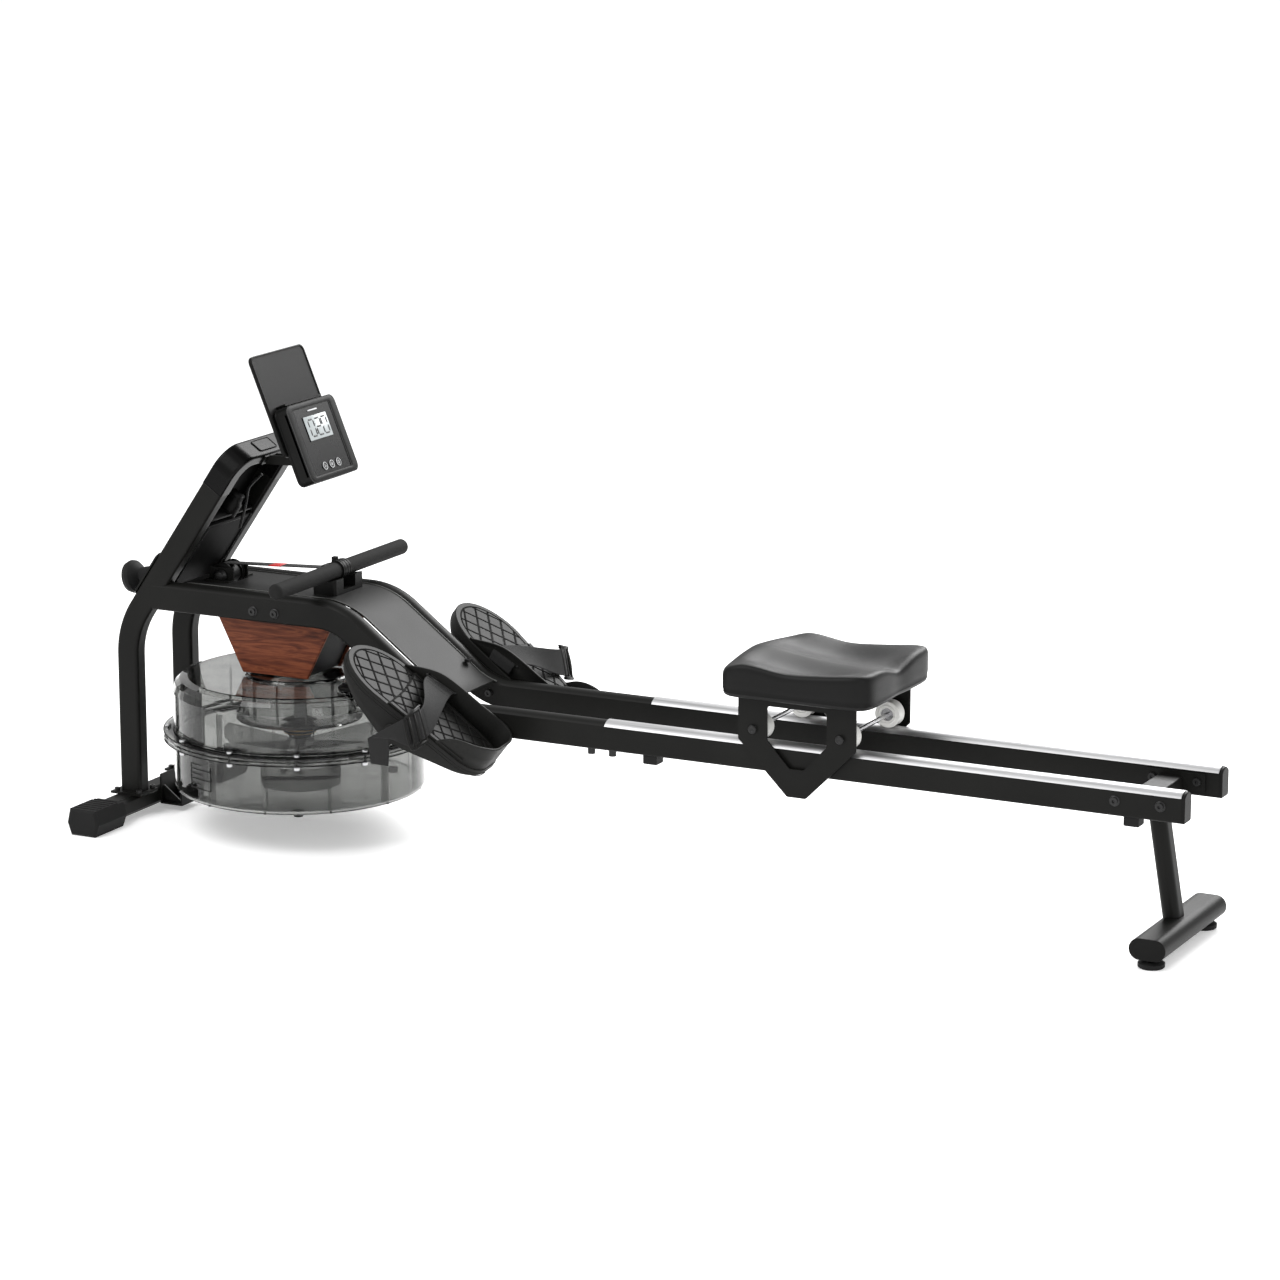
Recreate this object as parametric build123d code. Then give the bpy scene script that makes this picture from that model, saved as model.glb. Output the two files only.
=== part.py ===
from build123d import *
from math import atan, atan2, cos, degrees, pi, radians, sin, sqrt, tan
import os

# A water-resistance rowing machine, in millimetres. +X runs from the tank to the seat end, +Y is
# the rower's right hand side when facing the tank, and +Z is up. Stations along X are measured
# from the tank's axis; every piece is shifted on saving so that the origin is the middle of the
# bounding box, on the floor.

# ---- overall places ----
FRONT_FACE = -365.0
REAR_FACE = 1692.0
MIDDLE = (FRONT_FACE + REAR_FACE) / 2
HALF_TRACK = 88.0

# ---- frame tube: flat sides and a crowned top ----
TUBE_WIDTH = 32.0
TUBE_HEIGHT = 50.0
TUBE_CROWN = 8.0
TUBE_WALL = 2.0
TUBE_FOOT_RADIUS = 4.0
CROWN_RADIUS = ((TUBE_WIDTH / 2) ** 2 + TUBE_CROWN**2) / (2 * TUBE_CROWN)
INNER_FACE = HALF_TRACK - TUBE_WIDTH / 2
OUTER_FACE = HALF_TRACK + TUBE_WIDTH / 2

# ---- S-bent beams and rails (centre lines) ----
BEAM_Z = 412.5
RAIL_Z = 260.5
BEND_RADIUS = 125.0
TOP_BEND = 136.0
LOW_BEND = 338.0
BEAM_START = -243.0
JOINT = 604.0
RAIL_END = 1686.0
CAP_THICKNESS = REAR_FACE - RAIL_END
SLOPE = atan((BEAM_Z - RAIL_Z) / (LOW_BEND - TOP_BEND))
DECK_Z = BEAM_Z + TUBE_HEIGHT / 2
RAIL_TOP = RAIL_Z + TUBE_HEIGHT / 2
RAIL_FOOT = RAIL_Z - TUBE_HEIGHT / 2

# ---- running strips ----
STRIP_START = 660.0
STRIP_THICKNESS = 1.6
STRIP_GAP = 0.05
STRIP_TOP = RAIL_TOP + STRIP_GAP + STRIP_THICKNESS

# ---- uprights ----
UPRIGHT_DEPTH = 43.0
UPRIGHT_WIDTH = 30.0
UPRIGHT_WALL = 2.0
UPRIGHT_CORNER = 6.0
UPRIGHT_X = -298.5
UPRIGHT_BEND_Z = 345.2
UPRIGHT_BEND_RADIUS = 150.0
LEAN = radians(55.5)
UPRIGHT_INNER = HALF_TRACK - UPRIGHT_WIDTH / 2
UPRIGHT_OUTER = HALF_TRACK + UPRIGHT_WIDTH / 2
# a place on the front face of the leaning part, from which heights along the slope are measured
LEAN_POINT = (-226.7, 487.6)
LEAN_TOP = 169.5

# ---- front foot ----
FOOT_BAR_X = -302.0
FOOT_BAR_WIDTH = 44.0
FOOT_BAR_Z = (10.0, 44.0)
FOOT_BAR_HALF = 236.0
FOOT_CAP_HALF = 253.0
FOOT_CAP_LENGTH = 92.0
FOOT_CAP_WIDTH = 66.0
FOOT_CAP_HEIGHT = 48.0
SADDLE_THICKNESS = 4.0

# ---- rear stand ----
STAND_X = 1650.0
STAND_TUBE = (62.0, 36.0)
STAND_TUBE_Z = 34.0
STAND_HALF = 141.0
CROSS_X = (1582.0, 1626.0)
CROSS_Z = (232.0, 266.0)
POST_TOP_X = 1609.0
LEVEL_FOOT_Y = 122.0
LEVEL_FOOT_RADIUS = 22.0
LEVEL_FOOT_HEIGHT = 12.0
STUD_RADIUS = 5.0

# ---- seat and carriage at rest ----
SEAT_X = 1019.7
AXLE_SPACING = 158.0
AXLE_Z = 307.5
AXLE_RADIUS = 4.0
ROLLER_WIDTH = 22.0
ROLLER_CLEARANCE = 0.3
BEARING_RADIUS = 11.0
BEARING_WIDTH = 7.0
PLATE_THICKNESS = 3.0
PLATE_INNER = 109.0
PLATE_TOP = 362.0
PLATE_HALF = 106.7
KEEPER_Z = 222.0
KEEPER_RADIUS = 8.0
SEAT_LENGTH = 274.0
SEAT_WIDTH = 276.0
SEAT_OFFSET = 1.0
# the side view of the pad's top: distance behind its middle, height above the carriage
SEAT_PROFILE = ((-137, 44), (-100, 57), (-22, 49), (50, 52), (112, 58), (137, 56))
STOP_STATIONS = (743.6, 1601.4)
STOP_SIZE = (26.0, 24.0, 16.0)

# ---- pull line ----
HANDLE_X = 84.0
HANDLE_Z = 473.0
HANDLE_ANGLE = radians(12.0)
BAR_RADIUS = 11.0
GRIP_RADIUS = 14.0
GRIP_START = 15.0
HANDLE_HALF = 221.0
CLAMP_RADIUS = 17.0
CLAMP_WIDTH = 26.0
STRAP_WIDTH = 25.0
STRAP_THICKNESS = 2.0
PULLEY_X = -147.0
PULLEY_Z = 442.0
PULLEY_RADIUS = 19.0
PULLEY_WIDTH = 30.0
SPOOL_Z = 352.0
SPOOL_RADIUS = 28.0

# ---- tank ----
TANK_X = -4.0
BOWL_RADIUS = 223.0
BOWL_FOOT_Z = 73.0
FLANGE_Z = 172.0
FLANGE_RADIUS = 241.0
FLANGE_THICKNESS = 6.0
GASKET_THICKNESS = 3.0
DOME_TOP_Z = 277.0
TANK_WALL = 4.0
TANK_SCREWS = 12
SCREW_CIRCLE = 233.0
HUB_RADIUS = 72.0
HUB_TOP_Z = 118.0
SHAFT_RADIUS = 8.0
PLUG_RADIUS = 17.0
PLUG_PLACE = (171.0, -28.0)

# ---- drive housing between the beams and the tank ----
HOUSING_X = -17.0
HOUSING_Z = (282.0, 386.0)
HOUSING_HALF_Y = 54.0
HOUSING_TOP_HALF = 119.0
HOUSING_FOOT_HALF = 66.0
PANEL_THICKNESS = 6.0

# ---- console ----
CONSOLE_TILT = radians(22.5)
CONSOLE_PLACE = (53.0, 702.5)
CONSOLE_SIZE = (142.0, 160.0, 22.0)
LENS_SIZE = (130.0, 116.0, 2.0)
DISPLAY_SIZE = (45.0, 84.0, 2.0)
BUTTON_RADIUS = 7.0
BUTTON_SPACING = 22.5
BUTTON_DROP = 47.0
HOLDER_SIZE = (184.0, 174.0, 5.0)
HOLDER_GAP = 7.0

# ---- pedals: places are (distance down the tread, height above it) ----
PEDAL_TOP = (222.0, 388.0)
PEDAL_ANGLE = SLOPE
PEDAL_Y = 188.0
# the heels stand closer together than the toes; the turn is about this place on the tread
TOE_OUT = radians(5.06)
TOE_OUT_ALONG = 37.0
PEDAL_LENGTH = 314.0
TOE_LENGTH = 90.0
TOE_HALF = 74.0
HEEL_RADIUS = 35.0
HEEL_HALF = 58.0
PEDAL_SHELL = 4.0
WEDGE_POINT = (150.0, -58.0)
PEDAL_BOLTS = ((283.0, 301.9), (341.0, 262.0))
CUP_START = 96.0
CUP_GAP = 1.5
CUP_WALL = 3.0
INNER_RIM = ((76, 0), (118, 26), (144, 37), (180, 42), (222, 44), (260, 47), (300, 50), (322, 50))
OUTER_RIM = ((222, 0), (238, 20), (258, 34), (285, 44), (304, 49), (322, 50))
WEBBING_THICKNESS = 2.0
BAND_INNER = (-60.5, ((123, 18), (178, 25)))
BAND_OUTER = (81.5, ((174, 35), (211, 4)))
BUCKLE_OUTER = (116.6, ((168, 25), (203, -8)))
TAIL_Y = (291.0, 293.0)
TAIL_OUTLINE = ((299, 299), (360, 293), (356, 243), (348, 240), (346, 218), (312, 215),
                (310, 238), (303, 251))

os.makedirs("parts", exist_ok=True)


# ---------------------------------------------------------------- helpers
def save(name, *solids):
    shape = solids[0] if len(solids) == 1 else Compound(children=list(solids))
    export_step(Pos(-MIDDLE, 0, 0) * shape, f"parts/{name}.step")


def block(x, y, z):
    """A box between two X, two Y and two Z values."""
    size = [high - low for low, high in (x, y, z)]
    centre = [(high + low) / 2 for low, high in (x, y, z)]
    return Pos(*centre) * Box(*size)


def rod(radius, start, end):
    """A round bar from one point to another."""
    start = Vector(*start)
    along = Vector(*end) - start
    place = Plane(origin=start, z_dir=along)
    return place * Cylinder(radius, along.length, align=(Align.CENTER, Align.CENTER, Align.MIN))


def tube(radius, bore, start, end):
    return rod(radius, start, end) - rod(bore, start, end)


def mirrored(shape):
    """The same piece on the other side of the mid-plane."""
    return shape.mirror(Plane.XZ)


def polygon(points):
    return make_face(Polyline(*points, close=True))


def turned(points, x, y=0.0):
    """A solid of revolution about a vertical axis; points are (radius, height)."""
    profile = Plane.XZ * polygon(points)
    return Pos(x, y, 0) * revolve(profile, Axis.Z)


def rounded(shape, radius, edges):
    """Fillet the chosen edges, and leave the shape as it is if there are none."""
    return fillet(edges, radius) if edges else shape


def bolt_head(start, direction, radius=6.5, height=5.0):
    """A cap head with a hexagon socket, standing on a face."""
    place = Plane(origin=start, z_dir=direction)
    low = (Align.CENTER, Align.CENTER, Align.MIN)
    head = Cylinder(radius, height, align=low)
    socket = Pos(0, 0, height - 2.5) * extrude(RegularPolygon(radius * 0.5, 6), 2.5)
    return place * (head - socket)


# ---------------------------------------------------------------- frame tube
def tube_face(shrink=0.0):
    """The frame tube's section, in its own plane; shrink gives the bore."""
    half = TUBE_WIDTH / 2 - shrink
    foot = -TUBE_HEIGHT / 2 + shrink
    top = TUBE_HEIGHT / 2 - shrink
    shoulder = top - TUBE_CROWN
    outline = Polyline((-half, shoulder), (-half, foot), (half, foot), (half, shoulder))
    crown = ThreePointArc((half, shoulder), (0, top), (-half, shoulder))
    face = make_face(outline.edges() + crown.edges())
    corners = face.vertices().sort_by(Axis.Y)[:2]
    return fillet(corners, TUBE_FOOT_RADIUS - shrink)


def swept_tube(path, place):
    outer = sweep(place * tube_face(), path=path)
    bore = sweep(place * tube_face(TUBE_WALL), path=path)
    return outer - bore


def s_curve(offset, start, end):
    """The beams' centre line in the XZ plane, moved square to itself by offset."""
    shift = offset * tan(SLOPE / 2)
    points = [
        (start, BEAM_Z + offset),
        (TOP_BEND + shift, BEAM_Z + offset),
        (LOW_BEND + shift, RAIL_Z + offset),
        (end, RAIL_Z + offset),
    ]
    return [(x, 0, z) for x, z in points], [BEND_RADIUS + offset, BEND_RADIUS - offset]


def upright_body(shrink=0.0):
    """One upright without its saddle: vertical, then leaning back over the deck."""
    along = LEAN_TOP
    top = (
        LEAN_POINT[0] + UPRIGHT_DEPTH / 2 * sin(LEAN) + along * cos(LEAN),
        LEAN_POINT[1] - UPRIGHT_DEPTH / 2 * cos(LEAN) + along * sin(LEAN),
    )
    foot = FOOT_BAR_Z[1] + SADDLE_THICKNESS
    path = FilletPolyline(
        (UPRIGHT_X, 0, foot), (UPRIGHT_X, 0, UPRIGHT_BEND_Z), (top[0], 0, top[1]),
        radius=UPRIGHT_BEND_RADIUS,
    )
    place = Plane(origin=(UPRIGHT_X, 0, foot), x_dir=(0, 1, 0), z_dir=(0, 0, 1))
    section = RectangleRounded(
        UPRIGHT_WIDTH - 2 * shrink, UPRIGHT_DEPTH - 2 * shrink, UPRIGHT_CORNER - shrink
    )
    return sweep(place * section, path=path)


def beam():
    points, radii = s_curve(0, BEAM_START, JOINT)
    path = FilletPolyline(*points, radius=radii)
    place = Plane(origin=(BEAM_START, 0, BEAM_Z), x_dir=(0, 1, 0), z_dir=(1, 0, 0))
    return Pos(0, HALF_TRACK, 0) * (swept_tube(path, place) - upright_body())


def upright():
    saddle = block((-332, -268), (-29, 29), (FOOT_BAR_Z[1], FOOT_BAR_Z[1] + SADDLE_THICKNESS))
    shape = upright_body() - upright_body(UPRIGHT_WALL) + saddle
    return Pos(0, HALF_TRACK, 0) * shape


def rail():
    place = Plane(origin=(JOINT, HALF_TRACK, RAIL_Z), x_dir=(0, 1, 0), z_dir=(1, 0, 0))
    length = RAIL_END - JOINT
    return extrude(place * tube_face(), length) - extrude(place * tube_face(TUBE_WALL), length)


def strip():
    """A bright running strip that wraps the rail's crown."""
    inner = CROWN_RADIUS + STRIP_GAP
    outer = inner + STRIP_THICKNESS
    centre = RAIL_TOP - CROWN_RADIUS
    low = RAIL_TOP - TUBE_CROWN + 0.2
    place = Plane(origin=(STRIP_START, HALF_TRACK, centre), x_dir=(0, 1, 0), z_dir=(1, 0, 0))
    ring = place * (Circle(outer) - Circle(inner))
    whole = extrude(ring, RAIL_END - STRIP_START)
    keep = block(
        (STRIP_START, RAIL_END), (HALF_TRACK - outer, HALF_TRACK + outer), (low, STRIP_TOP + 1)
    )
    return whole & keep


def rail_cap():
    place = Plane(origin=(RAIL_END, HALF_TRACK, RAIL_Z), x_dir=(0, 1, 0), z_dir=(1, 0, 0))
    cap = extrude(place * tube_face(), CAP_THICKNESS)
    end = cap.faces().sort_by(Axis.X)[-1]
    return chamfer(end.edges(), 1.5)


# ---------------------------------------------------------------- front foot
def foot_bar():
    bar = block(
        (FOOT_BAR_X - FOOT_BAR_WIDTH / 2, FOOT_BAR_X + FOOT_BAR_WIDTH / 2),
        (-FOOT_BAR_HALF, FOOT_BAR_HALF),
        FOOT_BAR_Z,
    )
    bar = chamfer(bar.edges().filter_by(Axis.Y), 7)
    inner = block(
        (FOOT_BAR_X - FOOT_BAR_WIDTH / 2 + 2, FOOT_BAR_X + FOOT_BAR_WIDTH / 2 - 2),
        (-FOOT_BAR_HALF, FOOT_BAR_HALF),
        (FOOT_BAR_Z[0] + 2, FOOT_BAR_Z[1] - 2),
    )
    return bar - chamfer(inner.edges().filter_by(Axis.Y), 6)


def foot_cap():
    """A stepped, six-sided rubber shoe over one end of the foot bar."""
    half = FOOT_CAP_WIDTH / 2
    section = [
        (-half + 8, 0), (half - 8, 0), (half, 22), (half - 6, FOOT_CAP_HEIGHT),
        (-half + 6, FOOT_CAP_HEIGHT), (-half, 22),
    ]
    place = Plane(
        origin=(FOOT_BAR_X, FOOT_CAP_HALF - FOOT_CAP_LENGTH, 0), x_dir=(-1, 0, 0), z_dir=(0, 1, 0)
    )
    shoe = extrude(place * polygon(section), FOOT_CAP_LENGTH)
    end = shoe.faces().sort_by(Axis.Y)[-1]
    shoe = chamfer(end.edges(), 4)
    step = block(
        (FOOT_BAR_X - half, FOOT_BAR_X + half),
        (FOOT_CAP_HALF - FOOT_CAP_LENGTH, FOOT_CAP_HALF - 72),
        (FOOT_BAR_Z[1] + 1, FOOT_CAP_HEIGHT),
    )
    pocket = block(
        (FOOT_BAR_X - FOOT_BAR_WIDTH / 2, FOOT_BAR_X + FOOT_BAR_WIDTH / 2),
        (FOOT_CAP_HALF - FOOT_CAP_LENGTH, FOOT_BAR_HALF),
        FOOT_BAR_Z,
    )
    return shoe - step - chamfer(pocket.edges().filter_by(Axis.Y), 7)


def tank_bracket():
    """A folded shelf on the foot bar that steadies the front of the tank."""
    rear = FOOT_BAR_X + FOOT_BAR_WIDTH / 2
    upright_plate = block((rear, rear + 3), (-35, 35), (14, 66))
    shelf = block((rear, rear + 46), (-35, 35), (11, 14))
    lip = block((rear + 43, rear + 46), (-35, 35), (14, 34))
    gusset = Plane.XZ * polygon([(rear + 3, 14), (rear + 43, 14), (rear + 3, 44)])
    web = extrude(gusset, 3)
    return upright_plate + shelf + lip + Pos(0, 26, 0) * web + Pos(0, -23, 0) * web


# ---------------------------------------------------------------- leaning plane
def lean_place(along, depth, y=0.0):
    """A plane on the uprights: x runs up the slope, y across, z towards the rower."""
    x = LEAN_POINT[0] + along * cos(LEAN) + depth * sin(LEAN)
    z = LEAN_POINT[1] + along * sin(LEAN) - depth * cos(LEAN)
    return Plane(origin=(x, y, z), x_dir=(cos(LEAN), 0, sin(LEAN)), z_dir=(sin(LEAN), 0, -cos(LEAN)))


def lean_block(along, y, depth):
    """A box in the leaning plane."""
    size = (along[1] - along[0], y[1] - y[0], depth[1] - depth[0])
    place = lean_place((along[0] + along[1]) / 2, (depth[0] + depth[1]) / 2, 0)
    return place * Pos(0, -(y[0] + y[1]) / 2, 0) * Box(*size)


def bumper_plate():
    plate = lean_block((-93, 0), (-UPRIGHT_OUTER, UPRIGHT_OUTER), (-3.2, -0.2))
    through = Axis((0, 0, 0), (sin(LEAN), 0, -cos(LEAN)))
    return chamfer(plate.edges().filter_by(through), 6)


def storage_bumper():
    """A mushroom-headed rubber buffer that the machine leans on when stood on end."""
    drop = radians(12)
    place = Plane(origin=(-262, 0, 435.1), z_dir=(-cos(drop), 0, -sin(drop)))
    profile = [
        (0, -14), (19, -14), (19, 4), (15, 12), (15, 68), (24, 76), (29, 82), (30, 88),
        (27, 96), (18, 101.5), (0, 103),
    ]
    face = Plane.XZ * polygon(profile)
    whole = place * revolve(face, Axis.Z)
    cutter = lean_block((-300, 300), (-60, 60), (-3.2, 60))
    return whole - cutter


def front_panel():
    """The dark tray that closes the space between the uprights, deeper in its upper part."""
    half = INNER_FACE - 0.5
    sheet = lean_block((-58, 92), (-half, half), (38, 41))
    sides = [
        lean_block((-58, 92), (-half, -half + 3), (10, 38)),
        lean_block((-58, 92), (half - 3, half), (10, 38)),
    ]
    riser = lean_block((89, 92), (-half, half), (5, 38))
    upper = lean_block((92, 203), (-half, half), (5, 8))
    top = lean_block((203, 222), (-50, 50), (5, 8))
    return sheet + sides + riser + upper + top


def arch_face(grow=0.0):
    """The arch in the leaning plane: x along the slope, y across."""
    outer_half = UPRIGHT_OUTER + grow
    inner_half = UPRIGHT_INNER - 1 - grow
    outer_top = 250.0 + grow
    inner_top = 228.0 - grow
    foot = LEAN_TOP + 0.2
    outer = Pos((foot + outer_top) / 2 - 60, 0) * RectangleRounded(
        outer_top - foot + 120, 2 * outer_half, 44 + grow
    )
    inner = Pos((foot + inner_top) / 2 - 60, 0) * RectangleRounded(
        inner_top - foot + 120, 2 * inner_half, 24 - grow
    )
    below = Pos(foot - 200 - grow, 0) * Rectangle(400, 400)
    return outer - inner - below


def arch_cap():
    place = lean_place(0, -0.5)
    shell = extrude(place * arch_face(), UPRIGHT_DEPTH + 1)
    front = shell.faces().sort_by(Axis((0, 0, 0), (sin(LEAN), 0, -cos(LEAN))))
    rims = front[0].outer_wire().edges() + front[-1].outer_wire().edges()
    high = [edge for edge in rims if edge.center().Z > 628]
    shell = rounded(shell, 5, high)
    cavity = extrude(lean_place(0, 2.5) * arch_face(-3), UPRIGHT_DEPTH - 5)
    recess = lean_block((248, 256), (-27.5, 27.5), (8, 34))
    notch = lean_block((222, 234), (8, 16), (UPRIGHT_DEPTH - 6, UPRIGHT_DEPTH + 2))
    return shell - cavity - recess - notch


def cap_hatch():
    plate = lean_block((248.1, 251), (-27, 27), (8.5, 33.5))
    up = Axis((0, 0, 0), (cos(LEAN), 0, sin(LEAN)))
    return fillet(plate.edges().filter_by(up), 4)


# ---------------------------------------------------------------- deck
def deck_cover():
    """One sheet between the beams, following their S."""
    upper, upper_radii = s_curve(22, -196, 460)
    lower, lower_radii = s_curve(20, -196, 460)
    top = FilletPolyline(*upper, radius=upper_radii)
    under = FilletPolyline(*lower, radius=lower_radii)
    ends = [Line(upper[0], lower[0]), Line(upper[-1], lower[-1])]
    face = make_face(top.edges() + under.edges() + [line.edge() for line in ends])
    sheet = extrude(face, INNER_FACE - 0.5, both=True)
    tail = block((352, 470), (-100, 100), (200, 330))
    window = block((PULLEY_X - 26, PULLEY_X + 30), (-20, 20), (DECK_Z - 20, DECK_Z + 5))
    return sheet - tail - window


def hanger_rails():
    """Angles under the deck that carry the drive housing between the beams."""
    side = block((-62, 44), (INNER_FACE - 3, INNER_FACE), (390, 425))
    foot = block((-62, 44), (INNER_FACE - 20, INNER_FACE - 3), (390, 393))
    return side + foot


def handle_rest():
    """The cradle on the deck that holds the parked handle."""
    base = DECK_Z - 3
    body = block((56, 103), (-48, 48), (base, 472))
    body = chamfer(body.edges().filter_by(Axis.Z), 4)
    dx, dz = cos(HANDLE_ANGLE), sin(HANDLE_ANGLE)
    seat_radius = GRIP_RADIUS + 0.4
    path = rod(seat_radius, (HANDLE_X, -60, HANDLE_Z), (HANDLE_X, 60, HANDLE_Z))
    reach = 60
    sweep_way = Plane.XZ * polygon([
        (HANDLE_X + seat_radius * dz, HANDLE_Z - seat_radius * dx),
        (HANDLE_X + seat_radius * dz + reach * dx, HANDLE_Z - seat_radius * dx + reach * dz),
        (HANDLE_X + seat_radius * dz + reach * dx, HANDLE_Z + 40),
        (HANDLE_X - seat_radius * dz, HANDLE_Z + 40),
    ])
    way = extrude(sweep_way, 60, both=True)
    slot = block((62, 110), (-20, 20), (441, 480))
    front_gap = block((50, 70), (-16, 16), (452, 480))
    return body - path - way - slot - front_gap


def pulley_bracket():
    base = DECK_Z - 3
    cheeks = []
    for side in (1, -1):
        plate = block((PULLEY_X - 24, PULLEY_X + 26), (22, 25), (base, PULLEY_Z + 16))
        foot = block((PULLEY_X - 24, PULLEY_X + 26), (25, 40), (base, base + 3))
        cheek = plate + foot
        cheeks.append(cheek if side > 0 else mirrored(cheek))
    hole = rod(5.0, (PULLEY_X, -30, PULLEY_Z), (PULLEY_X, 30, PULLEY_Z))
    axle = rod(4.95, (PULLEY_X, -31, PULLEY_Z), (PULLEY_X, 31, PULLEY_Z))
    return cheeks[0] - hole, cheeks[1] - hole, axle


def guide_pulley():
    """A flanged belt pulley on the deck."""
    half = PULLEY_WIDTH / 2
    profile = [
        (5.05, -half), (PULLEY_RADIUS + 3, -half), (PULLEY_RADIUS + 3, -half + 2),
        (PULLEY_RADIUS, -half + 2), (PULLEY_RADIUS, half - 2), (PULLEY_RADIUS + 3, half - 2),
        (PULLEY_RADIUS + 3, half), (5.05, half),
    ]
    wheel = revolve(Plane.XZ * polygon(profile), Axis.Z)
    return Plane(origin=(PULLEY_X, 0, PULLEY_Z), z_dir=(0, 1, 0)) * wheel


# ---------------------------------------------------------------- handle and strap
def handle_bar():
    whole = tube(BAR_RADIUS, BAR_RADIUS - 2, (0, -HANDLE_HALF + 3, 0), (0, HANDLE_HALF - 3, 0))
    return Pos(HANDLE_X, 0, HANDLE_Z) * whole


def grip():
    outer = rod(GRIP_RADIUS, (0, GRIP_START, 0), (0, HANDLE_HALF, 0))
    outer = fillet(outer.faces().sort_by(Axis.Y)[-1].edges(), 9)
    bore = rod(BAR_RADIUS, (0, GRIP_START, 0), (0, HANDLE_HALF - 3, 0))
    return Pos(HANDLE_X, 0, HANDLE_Z) * (outer - bore)


def strap_clamp():
    """The collar in the middle of the handle that the strap is pinned to."""
    half = CLAMP_WIDTH / 2
    collar = rod(CLAMP_RADIUS, (0, -half, 0), (0, half, 0))
    tongue = block((-30, 0), (-half, half), (-6, 6))
    lug = block((-14, -6), (-5, 5), (8, 21))
    bore = rod(BAR_RADIUS, (0, -half, 0), (0, half, 0))
    slot = block((-31, -19), (-half, half), (-1.2, 1.2))
    return Pos(HANDLE_X, 0, HANDLE_Z) * (collar + tongue + lug - bore - slot)


def pull_strap():
    """The webbing: along the deck, over the guide pulley and down to the spool."""
    half = STRAP_WIDTH / 2
    outer = PULLEY_RADIUS + STRAP_THICKNESS
    end_x = HANDLE_X - 30.4
    rise = atan2(HANDLE_Z - PULLEY_Z - PULLEY_RADIUS - 1, end_x - PULLEY_X)
    top = (PULLEY_X - (PULLEY_RADIUS + 1) * sin(rise), PULLEY_Z + (PULLEY_RADIUS + 1) * cos(rise))
    along = Vector(end_x - top[0], 0, HANDLE_Z - top[1])
    run = Plane(
        origin=(top[0], 0, top[1]), x_dir=(0, 1, 0), z_dir=along
    ) * extrude(Rectangle(STRAP_WIDTH - 2, STRAP_THICKNESS), along.length)
    leave = radians(258)
    arc = Plane.XZ * (Circle(outer) - Circle(PULLEY_RADIUS + 0.02))
    wedge = Plane.XZ * polygon([
        (0, 0), (60 * cos(pi / 2 + rise), 60 * sin(pi / 2 + rise)), (-80, 40), (-80, -60),
        (60 * cos(leave), 60 * sin(leave)),
    ])
    wrap = extrude(arc & wedge, half - 1, both=True)
    wrap = Pos(PULLEY_X, 0, PULLEY_Z) * wrap
    return run, wrap


def strap_spool():
    """The drum on the drive shaft that the strap winds onto, with its return groove."""
    z = SPOOL_Z
    profile = [
        (SHAFT_RADIUS + 0.05, z - 22), (SPOOL_RADIUS + 14, z - 22), (SPOOL_RADIUS + 14, z - 19),
        (SPOOL_RADIUS, z - 19), (SPOOL_RADIUS, z + 8), (SPOOL_RADIUS + 14, z + 8),
        (SPOOL_RADIUS + 14, z + 11), (18, z + 11), (18, z + 18), (24, z + 18), (24, z + 20),
        (SHAFT_RADIUS + 0.05, z + 20),
    ]
    return turned(profile, TANK_X)


# ---------------------------------------------------------------- tank
def tank_bowl():
    """The lower half: a flat-bottomed bowl with a bearing pedestal and a flange."""
    r, t, z = BOWL_RADIUS, TANK_WALL, BOWL_FOOT_Z
    outline = [
        (0, z), (r - 10, z), (r - 3, z + 3), (r, z + 10), (r, FLANGE_Z - 6),
        (FLANGE_RADIUS, FLANGE_Z - 6), (FLANGE_RADIUS, FLANGE_Z), (r - t, FLANGE_Z),
        (r - t, z + 8), (r - t - 4, z + t), (HUB_RADIUS, z + t), (HUB_RADIUS, HUB_TOP_Z),
        (28, HUB_TOP_Z), (28, HUB_TOP_Z - 20), (SHAFT_RADIUS + 0.3, HUB_TOP_Z - 20),
        (SHAFT_RADIUS + 0.3, HUB_TOP_Z - 34), (0, HUB_TOP_Z - 34),
    ]
    bowl = turned(outline, TANK_X)
    inside = turned([(0, z + t + 6), (HUB_RADIUS - 4, z + t + 6), (HUB_RADIUS - 4, HUB_TOP_Z - 24),
                     (SHAFT_RADIUS + 8, HUB_TOP_Z - 24), (SHAFT_RADIUS + 8, z + t + 6)], TANK_X)
    rib = block((BOWL_RADIUS - 19, BOWL_RADIUS - 2), (-1.5, 1.5), (z + 2, FLANGE_Z - 8))
    ribs = [Pos(TANK_X, 0, 0) * Rot(0, 0, 15 + 30 * i) * rib for i in range(12)]
    holes = [
        Pos(TANK_X, 0, 0) * Rot(0, 0, 360 * i / TANK_SCREWS)
        * rod(2.6, (SCREW_CIRCLE, 0, FLANGE_Z - 7), (SCREW_CIRCLE, 0, FLANGE_Z + 1))
        for i in range(TANK_SCREWS)
    ]
    return bowl + ribs - holes


def tank_gasket():
    low, high = FLANGE_Z, FLANGE_Z + GASKET_THICKNESS
    ring = turned([(BOWL_RADIUS - 3, low), (SCREW_CIRCLE - 3.5, low), (SCREW_CIRCLE - 3.5, high),
                   (BOWL_RADIUS - 3, high)], TANK_X)
    return ring


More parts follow.
